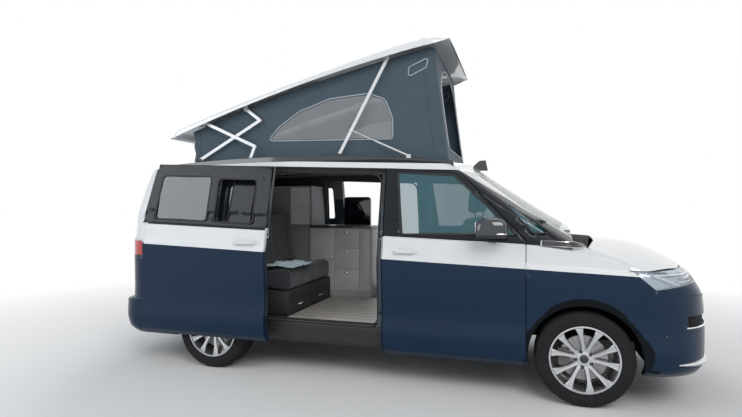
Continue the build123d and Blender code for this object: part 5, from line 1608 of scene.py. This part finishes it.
def crossings(outline, place, direction):
    """Points where a closed outline in (x, z) passes through a plane."""
    spots = []
    for (x1, z1), (x2, z2) in zip(outline, outline[1:] + outline[:1]):
        a = (x1 - place[0]) * direction[0] + (z1 - place[2]) * direction[2]
        b = (x2 - place[0]) * direction[0] + (z2 - place[2]) * direction[2]
        if a * b < 0:
            t = a / (a - b)
            spots.append((x1 + (x2 - x1) * t, z1 + (z2 - z1) * t))
    return spots


def cushion_cords(piece, profile, ends, radius, channels):
    """Piping round both ends of a padded piece, and a thin cord in each channel."""
    tree = BVHTree.FromObject(piece, bpy.context.evaluated_depsgraph_get())
    outline = along(rounded(profile, radius, 5), 0.025, True)
    cords = [seam_on(tree, [(x, y, z) for x, z in outline]) for y in ends]
    for place, direction in channels:
        if abs(direction[1]) > 0.5:
            cords.append(seam_on(tree, [(x, place[1], z) for x, z in outline], 0.0018))
            continue
        for x, z in crossings(outline, place, direction):
            row = [(x, y, z) for y in np.linspace(*ends, 24)]
            cords.append(seam_on(tree, row, 0.0018, False))
    return cords


def cushion(name, profile, y0, y1, finish, node, cap=0.014, radius=0.045, edge=0.045, channels=(),
            copies=(1,), voxel=CUSHION_VOXEL):
    """Padded piece with its piping, mirrored where a copy is asked for on the other side."""
    form = padded_form(profile, y0, y1, cap * 0.9, radius, edge)
    piece = inflated(name, form, cap, channels, voxel)
    cords = cushion_cords(piece, profile, (y0 + edge, y1 - edge), radius, channels)
    piece.data.materials.append(finish)
    for side in copies:
        if side != copies[0]:
            piece = linked(name + "_other", piece.data.copy())
        if side < 0:
            points = vectors_of(piece.data.vertices, "co") * (1, -1, 1)
            piece.data.vertices.foreach_set("co", points.astype(np.float32).ravel())
            piece.data.flip_normals()
        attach(piece, "root")
        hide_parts(node)
        mirrored = [([(v[0], v[1] * side, v[2]) for v in verts], faces) for verts, faces in cords]
        built(piece.name + "_piping", mirrored, [SEAM_THREAD], "root", 60.0)


SEAT_CUSHION = [(0.205, 0.690), (0.690, 0.665), (0.735, 0.820), (0.560, 0.810), (0.215, 0.850)]
SEAT_BACK = [(0.640, 0.800), (0.760, 0.760), (0.880, 1.330), (0.845, 1.385), (0.780, 1.385)]
SEAT_HEAD = [(0.790, 1.405), (0.870, 1.385), (0.900, 1.600), (0.800, 1.600)]
BENCH_SEAT = [(-1.290, 0.700), (-0.760, 0.700), (-0.760, 0.893), (-1.290, 0.860)]
BENCH_BACK = [(-1.310, 0.870), (-1.190, 0.850), (-1.260, 1.400), (-1.390, 1.400)]
ACROSS = (0.0, 1.0, 0.0)
seat_rows = [((0.0, 0.30, 0.0), ACROSS), ((0.0, 0.56, 0.0), ACROSS)]
cushion("front_seat_cushion", SEAT_CUSHION, 0.185, 0.675, SEAT_GREY, "front_seats", channels=seat_rows,
        copies=(1, -1))
cushion("front_seat_back", SEAT_BACK, 0.195, 0.665, SEAT_GREY, "front_seats", radius=0.035, edge=0.04,
        channels=seat_rows + [((0.80, 0.0, 1.16), (0.2, 0.0, 0.98))], copies=(1, -1))
cushion("front_seat_head", SEAT_HEAD, 0.305, 0.555, SEAT_GREY, "front_seats", cap=0.010, radius=0.035,
        edge=0.035, copies=(1, -1))
for side, word in SIDES:
    posts = [tube([(0.845, side * y, 1.340), (0.848, side * y, 1.430)], 0.006, 10) for y in (0.37, 0.49)]
    built("headrest_posts_" + word, posts, [CHROME], "root")
bench_rows = [((0.0, -0.225, 0.0), ACROSS)]
cushion("bench_cushion", BENCH_SEAT, -0.740, 0.290, SEAT_DARK, "rear_bench", cap=0.016, radius=0.05,
        voxel=0.020, channels=bench_rows + [((-0.93, 0.0, 0.88), (1.0, 0.0, 0.0))])
cushion("bench_back", BENCH_BACK, -0.740, 0.290, SEAT_DARK, "rear_bench", radius=0.04, voxel=0.020,
        channels=bench_rows + [((-1.25, 0.0, 1.10), (0.0, 0.0, 1.0))])
# Bench box under the cushion, with drawer fronts and pulls
BENCH_FRONT_X = -0.790
DRAWER_LOW_Z = FLOOR_Z + 0.020
PULL_Z = 0.545


def bench_box():
    """Closed box with two drawer fronts, a rail over them and a pull on each."""
    front = (BENCH_FRONT_X, BENCH_FRONT_X + 0.005)
    parts = [block(-1.245, BENCH_FRONT_X, -0.735, 0.285, FLOOR_Z + 0.003, 0.690, 0.006),
             block(*front, -0.725, -0.240, DRAWER_LOW_Z, 0.580, 0.002),
             block(*front, -0.230, 0.275, DRAWER_LOW_Z, 0.580, 0.002),
             block(*front, -0.725, 0.275, 0.590, 0.685, 0.002)]
    for y in (-0.48, 0.02):
        pull = [(-0.786, y - 0.05, PULL_Z), (-0.776, y - 0.045, PULL_Z), (-0.776, y + 0.045, PULL_Z),
                (-0.786, y + 0.05, PULL_Z)]
        parts.append((*tube(pull, 0.004), 1))
    built("bench_box", parts, [BLACK, CHROME], "root")


bench_box()

# Planked floor between the seats, dark joints along the van
PLANK = plain("floor_plank", (0.52, 0.49, 0.45), 0.5, coat=0.2, grain=0.25, grain_scale=90.0, vary=0.25,
              vary_scale=14.0)
PLANK_X = (-0.780, 0.110)
PLANK_Y = (-0.775, 0.346)
PLANK_W = 0.110
PLANK_JOINT = 0.004


def floor_planks():
    """Planks, and a joint line between each two."""
    planks = []
    y = PLANK_Y[0]
    while y < PLANK_Y[1] - 0.001:
        end = min(y + PLANK_W, PLANK_Y[1]) - PLANK_JOINT
        planks.append((*block(*PLANK_X, y, end, FLOOR_Z + 0.0004, FLOOR_Z + 0.0028, 0.0008), 0))
        y += PLANK_W
    for k in range(1, len(planks)):
        y = PLANK_Y[0] + PLANK_W * k - PLANK_JOINT / 2
        joint = block(*PLANK_X, y - PLANK_JOINT, y + PLANK_JOINT, FLOOR_Z + 0.0002, FLOOR_Z + 0.0032)
        planks.append((*joint, 1))
    built("floor_planks", planks, [PLANK, BLACK], "root")


floor_planks()

# Ribbed tread plates in both doorways, and the latch plates of the sliding doors
PLATE_PALE = plain("latch_plate", (0.60, 0.61, 0.62), 0.4, vary=0.05)
LATCH_FACE = (-0.8508, -0.8490)


def side_block(side, x0, x1, y0, y1, z0, z1, bevel):
    """Box whose y range is given for the left side."""
    return block(x0, x1, *sorted((side * y0, side * y1)), z0, z1, bevel)


for side, word in SIDES:
    ribs = [side_block(side, -0.960, 0.060, y, y + 0.006, FLOOR_Z - 0.001, FLOOR_Z + 0.004, 0.001)
            for y in np.arange(0.790, 0.900, 0.016)]
    tread = side_block(side, -0.975, 0.075, 0.782, 0.905, FLOOR_Z - 0.002, FLOOR_Z + 0.0015, 0.001)
    built("tread_plate_" + word, ribs + [(*tread, 1)], [TRIM, BLACK_LINER_AND_ARCH_SHADE], "root")
    latch = [side_block(side, -0.862, -0.8505, 0.985, 1.030, 1.190, 1.275, 0.004),
             (*side_block(side, *LATCH_FACE, 0.998, 1.017, 1.205, 1.235, 0.0008), 1),
             (*side_block(side, *LATCH_FACE, 1.002, 1.012, 1.248, 1.262, 0.0008), 1)]
    built("latch_plate_" + word, latch, [PLATE_PALE, BLACK], "root")

# Kitchen: fronts, worktop, raised lid, cupboard with a ribbed roller shutter
KITCHEN_FACE = 0.350
KITCHEN_TOP = 1.250
WORKTOP = plain("worktop_dark", (0.030, 0.032, 0.036), 0.35, coat=0.3, grain=0.15, grain_scale=900.0)
FRONT_PALE = plain("kitchen_front", (0.58, 0.585, 0.59), 0.42, coat=0.2, grain=0.08, vary=0.06)
FRONT_DARK = plain("kitchen_panel", (0.32, 0.32, 0.325), 0.5, grain=0.15, vary=0.08)
SHUTTER = plain("roller_shutter", (0.85, 0.85, 0.81), 0.45, grain=0.05, vary=0.04)
KITCHEN_FINISHES = [FURNITURE, FRONT_PALE, WORKTOP, CHROME, FRONT_DARK, SHUTTER]
BODY, PALE, TOP, KNOB, DARK, SLATS = range(6)
# Fronts and knobs of the low part, panels of the tall part, frame of the shutter: x and z ranges or places
LOW_FRONTS = [(-1.050, -0.770, 0.540, 1.215), (-0.762, -0.475, 0.540, 0.770), (-0.762, -0.475, 0.778, 1.000),
              (-0.762, -0.475, 1.008, 1.215), (-0.467, -0.350, 0.540, 1.215)]
KNOBS = [(-0.800, 0.900), (-0.620, 0.735), (-0.620, 0.965), (-0.620, 1.180)]
TALL_PANELS = [(-1.890, -1.350, 0.820, 1.255), (-1.890, -1.350, 1.262, 1.690), (-1.345, -1.070, 0.820, 1.235)]
SHUTTER_FRAME = [(-1.345, -1.327, 1.245, 1.692), (-1.083, -1.064, 1.245, 1.692),
                 (-1.345, -1.064, 1.238, 1.260)]
KNOB_PROFILE = [(0.0, -0.012), (0.009, -0.011), (0.0115, -0.009), (0.0115, -0.004)]
KNOB_RING = [(0.0140, -0.0062), (0.0190, -0.0056), (0.0190, -0.0040)]
SHUTTER_X = (-1.325, -1.085)
SHUTTER_Z = (1.262, 1.690)
SLAT = 0.021
SLAT_GAP = 0.001
LID_OUTLINE = [(-0.762, 1.255), (-0.438, 1.255), (-0.438, 1.577), (-0.762, 1.577)]
# Sections of the lid: y and how far they are set in
LID_SECTIONS = ((0.655, 0.004), (0.657, 0.0), (0.686, 0.0), (0.688, 0.004))


def capped(loops, count):
    """Faces of a closed body from loops of points: its sides and both ends."""
    ends = [tuple(range(count)), tuple(range((loops - 1) * count, loops * count))]
    return net(loops, count) + ends


def shutter_slats():
    """Bulging slats, one over the other."""
    face = KITCHEN_FACE + 0.060
    parts = []
    rise = 0.0
    while SHUTTER_Z[0] + rise + SLAT < SHUTTER_Z[1]:
        z = SHUTTER_Z[0] + rise
        section = [(face - 0.006 * sin(pi * k / 6), z + SLAT * k / 6) for k in range(7)]
        section.append((face + 0.002, z + SLAT))
        verts = [(x, y, height) for x in SHUTTER_X for y, height in section]
        parts.append((verts, capped(2, len(section)), SLATS))
        rise += SLAT + SLAT_GAP
    return parts


def kitchen():
    """Everything on the kitchen's faces, as one piece, and the raised lid."""
    face = KITCHEN_FACE
    parts = [(*block(x0, x1, face - 0.004, face + 0.002, z0, z1, 0.002), PALE)
             for x0, x1, z0, z1 in LOW_FRONTS]
    for x, z in KNOBS:
        parts.append((*lathe(KNOB_PROFILE, 20, (x, face, z)), KNOB))
        parts.append((*lathe(KNOB_RING, 20, (x, face, z)), BODY))
    worktop = block(-1.062, -0.336, face - 0.010, 0.640, KITCHEN_TOP - 0.022, KITCHEN_TOP + 0.003, 0.004)
    parts.append((*worktop, TOP))
    parts.append((*block(-0.345, -0.337, face + 0.010, 0.700, 0.500, 1.210, 0.003), PALE))
    for x0, x1, z0, z1 in TALL_PANELS:
        parts.append((*block(x0, x1, face + 0.055, face + 0.062, z0, z1, 0.002), DARK))
    parts += shutter_slats()
    for x0, x1, z0, z1 in SHUTTER_FRAME:
        parts.append((*block(x0, x1, face + 0.046, face + 0.062, z0, z1, 0.002), DARK))
    built("kitchen_fronts", parts, KITCHEN_FINISHES, "root")
    outline = rounded(LID_OUTLINE, [0.012, 0.012, 0.04, 0.04], 6)
    verts = [(x, y, z) for y, amount in LID_SECTIONS for x, z in inset_outline(outline, amount)]
    lid = (verts, capped(len(LID_SECTIONS), len(outline)))
    built("kitchen_lid", [lid], [GLOSS], "root")


kitchen()

# Blanket laid over the bench
BLANKET = fabric("blanket", (0.46, 0.60, 0.67), scale=500.0, sheen=0.4)
BLANKET_CELLS = 34
BLANKET_Z = 0.905


def blanket_point(u, v):
    """Point of the blanket at shares of its length and width: a low heap with folds."""
    x = -0.735 - 0.36 * u - 0.01 * sin(v * 9.0)
    y = -0.735 + 0.46 * v + 0.012 * sin(u * 7.0)
    swell = 0.030 * (noise.noise((x * 9.0, y * 9.0, 4.0)) + 0.6 * noise.noise((x * 21.0, y * 21.0, 9.0)))
    heap = 0.028 * exp(-((u - 0.4) / 0.28) ** 2 - ((v - 0.45) / 0.35) ** 2)
    return x, y, BLANKET_Z + abs(swell) + heap


def blanket():
    """The laid blanket, from its grid of points."""
    n = BLANKET_CELLS + 1
    verts = [blanket_point(k / BLANKET_CELLS, j / BLANKET_CELLS) for k in range(n) for j in range(n)]
    faces = [(k * n + j, (k + 1) * n + j, (k + 1) * n + j + 1, k * n + j + 1)
             for k in range(BLANKET_CELLS) for j in range(BLANKET_CELLS)]
    mesh = bpy.data.meshes.new("blanket")
    mesh.from_pydata(verts, [], faces)
    mesh.materials.append(BLANKET)
    piece = linked("blanket", mesh)
    thicken(piece, "thick", 0.004, 1.0)
    fine = piece.modifiers.new("fine", "SUBSURF")
    fine.levels = fine.render_levels = 1
    smooth_shade(apply_modifiers(piece))
    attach(piece, "root")


blanket()

# Door mirrors
MIRROR_CAP = plain("mirror_cap", (0.004, 0.010, 0.022), 0.10, coat=1.0, vary=0.05)
MIRROR_RINGS = 28
MIRROR_STEPS = 48
MIRROR_FOOT = 0.040
# Share of the housing's half width that the foot takes
MIRROR_FOOT_SHARE = 0.45


def squared(value, power):
    """Sine or cosine whose round is squared off by a power."""
    return np.sign(value) * abs(value) ** power


def mirror(side, word):
    """A rounded housing, its glass and its foot, in the place of the CAD housing."""
    cad = nodes["mirror_" + word]
    points = np.array([cad.matrix_world @ v.co for v in cad.data.vertices])
    low, high = points.min(0), points.max(0)
    centre, half = (low + high) / 2, (high - low) / 2
    foot_z = low[2] + MIRROR_FOOT
    head_low = low[1] if side < 0 else low[1] + half[1] * MIRROR_FOOT_SHARE
    head_high = high[1] if side > 0 else high[1] - half[1] * MIRROR_FOOT_SHARE
    head_mid, head_half = (head_low + head_high) / 2, (head_high - head_low) / 2
    verts = []
    for k in range(MIRROR_RINGS + 1):
        a = -pi / 2 + pi * k / MIRROR_RINGS
        px = squared(sin(a), 0.60)
        taper = 1 - 0.16 * max(0.0, px)
        for j in range(MIRROR_STEPS):
            b = 2 * pi * j / MIRROR_STEPS
            py = squared(cos(b), 0.50) * abs(cos(a)) ** 0.45
            if sin(b) < 0:
                pz = squared(sin(b), 0.30) * abs(cos(a)) ** 0.30 * 0.12
            else:
                pz = squared(sin(b), 0.80) * abs(cos(a)) ** 0.62
            verts.append((centre[0] + half[0] * px * 0.99, head_mid + head_half * py * taper * 0.99,
                          foot_z + (high[2] - foot_z) * pz))
    housing = (verts, net(MIRROR_RINGS + 1, MIRROR_STEPS))
    inner = low[1] if side > 0 else high[1]
    foot = block(centre[0] - 0.035, centre[0] + 0.030, *sorted((inner, head_mid)), low[2] + 0.004,
                 low[2] + 0.050, 0.010)
    line = []
    for j in range(MIRROR_STEPS):
        b = 2 * pi * j / MIRROR_STEPS
        line.append((centre[0] + half[0] * 0.965 * squared(sin(b), 0.5),
                     head_mid + head_half * 0.90 * squared(cos(b), 0.5), foot_z + 0.004))
    under = block(centre[0] - half[0] * 0.90, centre[0] + half[0] * 0.86, head_low + 0.012, head_high - 0.012,
                  low[2] + 0.010, foot_z + 0.002, 0.012)
    glass_x = low[0] + 0.002
    face = block(glass_x, glass_x + 0.006, head_low + 0.030, head_high - 0.022, foot_z + 0.012,
                 high[2] - 0.030, 0.003)
    parts = [housing, (*foot, 1), (*tube(line, 0.0032, 6, True), 2), (*under, 1), (*face, 2)]
    piece = built("mirror_housing_" + word, parts, [MIRROR_CAP, BLACK, SILVER], "door_" + word, 50.0)
    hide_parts("mirror_" + word)


for side, word in SIDES:
    mirror(side, word)


# Tail: blank plate, third light, wiper and reflectors
TAIL_X = -2.4
TAIL_WINDOW_Z = 1.25


def tail_x(y, z):
    """Rearmost place of the body's skin at a height, near the middle."""
    lower = z < TAIL_WINDOW_Z
    _, (_, _, tail) = section_at(LOWER if lower else GREENHOUSE, TAIL_X, np.array([z]))
    big = (LOWER_RADII if lower else GREEN_RADII)[2]
    return tail[0] - HALF_L + big - sqrt(big ** 2 - y ** 2)


def tail_band(y0, y1, z0, z1, out, steps=24):
    """Thin curved plate on the tail."""
    rows = [(z0, 0.0), (z0 + 0.004, out), (z1 - 0.004, out), (z1, 0.0)]
    verts = []
    for y in np.linspace(y0, y1, steps):
        verts += [(tail_x(y, z) - lift, y, z) for z, lift in rows]
        verts += [(tail_x(y, z) + 0.004, y, z) for z, _ in rows[::-1]]
    return verts, capped(steps, 2 * len(rows))


PLATE_BLANK = plain("plate_blank", (0.62, 0.63, 0.62), 0.35, coat=0.3, vary=0.03)
PIVOT_Z = 1.330
ARM_LINE = [(0.0, PIVOT_Z), (0.10, 1.345), (0.26, 1.356), (0.42, 1.362)]
built("rear_plate", [tail_band(-0.262, 0.262, 0.848, 0.962, 0.004),
                     (*tail_band(-0.300, 0.300, 0.972, 0.990, 0.008), 1)], [PLATE_BLANK, CHROME],
      "tailgate")
built("third_light", [tail_band(-0.160, 0.160, 1.768, 1.784, 0.003)], [RED], "tailgate")
for side, word in SIDES:
    reflector = tail_band(*sorted((side * 0.52, side * 0.74)), 0.500, 0.530, 0.004)
    built("rear_reflector_" + word, [reflector], [RED], "root")
wiper_arm = [(tail_x(y, z) - 0.016, y, z) for y, z in ARM_LINE]
wiper_blade = [(tail_x(y, z) - 0.010, y, z)
               for y, z in zip(np.linspace(0.20, 0.60, 12), np.linspace(1.350, 1.368, 12))]
pivot = [(tail_x(0, PIVOT_Z) + step, 0.0, PIVOT_Z) for step in (0.004, -0.022)]
built("rear_wiper", [tube(wiper_arm, [0.010, 0.008, 0.006, 0.005], 10), tube(wiper_blade, 0.0045, 6),
                     tube(pivot, 0.022, 20)], [BLACK], "tailgate", 40.0)


# Finishes of the nodes that stay as they are
FINISH = {
    STEEL: "floor_pan front_suspension rear_axle underfloor",
    BLACK_LINER_AND_ARCH_SHADE: "front_structure wheelhouses",
    WINDSCREEN: "windscreen",
    GLASS_DARK: "side_windows tailgate_window",
    GLASS_CLEAR: "front_window_left front_window_right",
    CAST: "knuckle_left knuckle_right engine",
    TRIM: "dashboard",
    BLACK: "steering_wheel seat_bases wipers grille",
    FURNITURE: "kitchen",
    ARM: "bars_a links_a bars_b links_b roof_struts gas_tubes",
    CHROME: "gas_rods",
    GLOSS: "roof_trim",
}
for finish, names in FINISH.items():
    for node in names.split():
        if not nodes[node].hide_render:
            dress(node, finish)

# Clear glass in the front quarters of the side windows
QUARTER_MIN_X = 0.90
quarter = nodes["side_windows"].data
quarter.materials.append(GLASS_CLEAR)
for polygon in quarter.polygons:
    if polygon.center.x > QUARTER_MIN_X:
        polygon.material_index = 1

# Camera: the photograph's level side view
camera_data = bpy.data.cameras.new("camera")
camera_data.sensor_width = 36.0
camera_data.lens = 24.016
camera = bpy.data.objects.new("camera", camera_data)
camera.location = (1.2355, -4.800, 1.443)
camera.rotation_euler = (radians(90.0), 0.0, radians(17.0))
scene.collection.objects.link(camera)
scene.camera = camera

# Floor: white to the camera and in reflections beyond a distance from the van
FLOOR_HALF = 40.0
FLOOR_FADE = (2.8, 7.0)


def seen_directly(g):
    """1 for rays from the camera and for those that were reflected or went through glass."""
    path = g.add("ShaderNodeLightPath").outputs
    looked = g.math("MAXIMUM", path["Is Camera Ray"], path["Is Glossy Ray"])
    return g.math("MAXIMUM", looked, path["Is Transmission Ray"])


def floor_build(tree, shader):
    """Pale floor that turns to plain white far from the van."""
    g = Graph(tree)
    g.link(g.mix(g.noise(0.6), (0.80, 0.80, 0.80), (0.84, 0.84, 0.84)), shader.inputs["Base Color"])
    shader.inputs["Roughness"].default_value = 0.9
    g.bump(g.noise(60.0), 0.05, 0.001, shader)
    far = g.add("ShaderNodeVectorMath", operation="LENGTH")
    g.link(g.place(), far.inputs[0])
    glow = g.add("ShaderNodeEmission")
    glow.inputs["Strength"].default_value = 1.0
    join = g.add("ShaderNodeMixShader")
    g.link(g.times(g.ramp(far.outputs["Value"], *FLOOR_FADE), seen_directly(g)), join.inputs[0])
    g.link(shader.outputs[0], join.inputs[1])
    g.link(glow.outputs[0], join.inputs[2])
    g.link(join.outputs[0], tree.nodes["Material Output"].inputs["Surface"])


floor_mesh = bpy.data.meshes.new("floor")
corners = [(-FLOOR_HALF, -FLOOR_HALF, 0), (FLOOR_HALF, -FLOOR_HALF, 0), (FLOOR_HALF, FLOOR_HALF, 0),
           (-FLOOR_HALF, FLOOR_HALF, 0)]
floor_mesh.from_pydata(corners, [], [(0, 1, 2, 3)])
floor_mesh.materials.append(material("floor_pale", floor_build))
floor = linked("floor", floor_mesh)

# World: soft light on the object, white to the camera and in reflections
world = bpy.data.worlds.new("studio")
scene.world = world
world.use_nodes = True
world.node_tree.nodes.clear()
sky = Graph(world.node_tree)
blend = sky.add("ShaderNodeMixShader")
sky.link(seen_directly(sky), blend.inputs[0])
for number, colour, strength in ((1, (0.90, 0.95, 1.0, 1.0), 0.42), (2, (1.0, 1.0, 1.0, 1.0), 1.0)):
    background = sky.add("ShaderNodeBackground")
    background.inputs["Color"].default_value = colour
    background.inputs["Strength"].default_value = strength
    sky.link(background.outputs[0], blend.inputs[number])
sky.link(blend.outputs[0], sky.add("ShaderNodeOutputWorld").inputs[0])


def lamp(name, place, aim, size, power, colour=(1.0, 1.0, 1.0)):
    """Soft area lamp that looks at a point."""
    data = bpy.data.lights.new(name, "AREA")
    data.shape = "RECTANGLE"
    data.size, data.size_y = size
    data.energy = power
    data.color = colour
    obj = bpy.data.objects.new(name, data)
    obj.location = place
    obj.rotation_euler = (Vector(aim) - Vector(place)).to_track_quat("-Z", "Y").to_euler()
    scene.collection.objects.link(obj)


lamp("key", (4.5, -7.0, 6.5), (0.0, 0.0, 1.0), (6.0, 4.0), 380.0, (1.0, 0.98, 0.95))
lamp("fill", (-6.0, -5.5, 4.0), (0.0, 0.0, 1.0), (5.0, 4.0), 170.0, (0.93, 0.97, 1.0))
lamp("back", (-2.0, 7.0, 6.0), (0.0, 0.0, 1.2), (7.0, 4.0), 240.0)
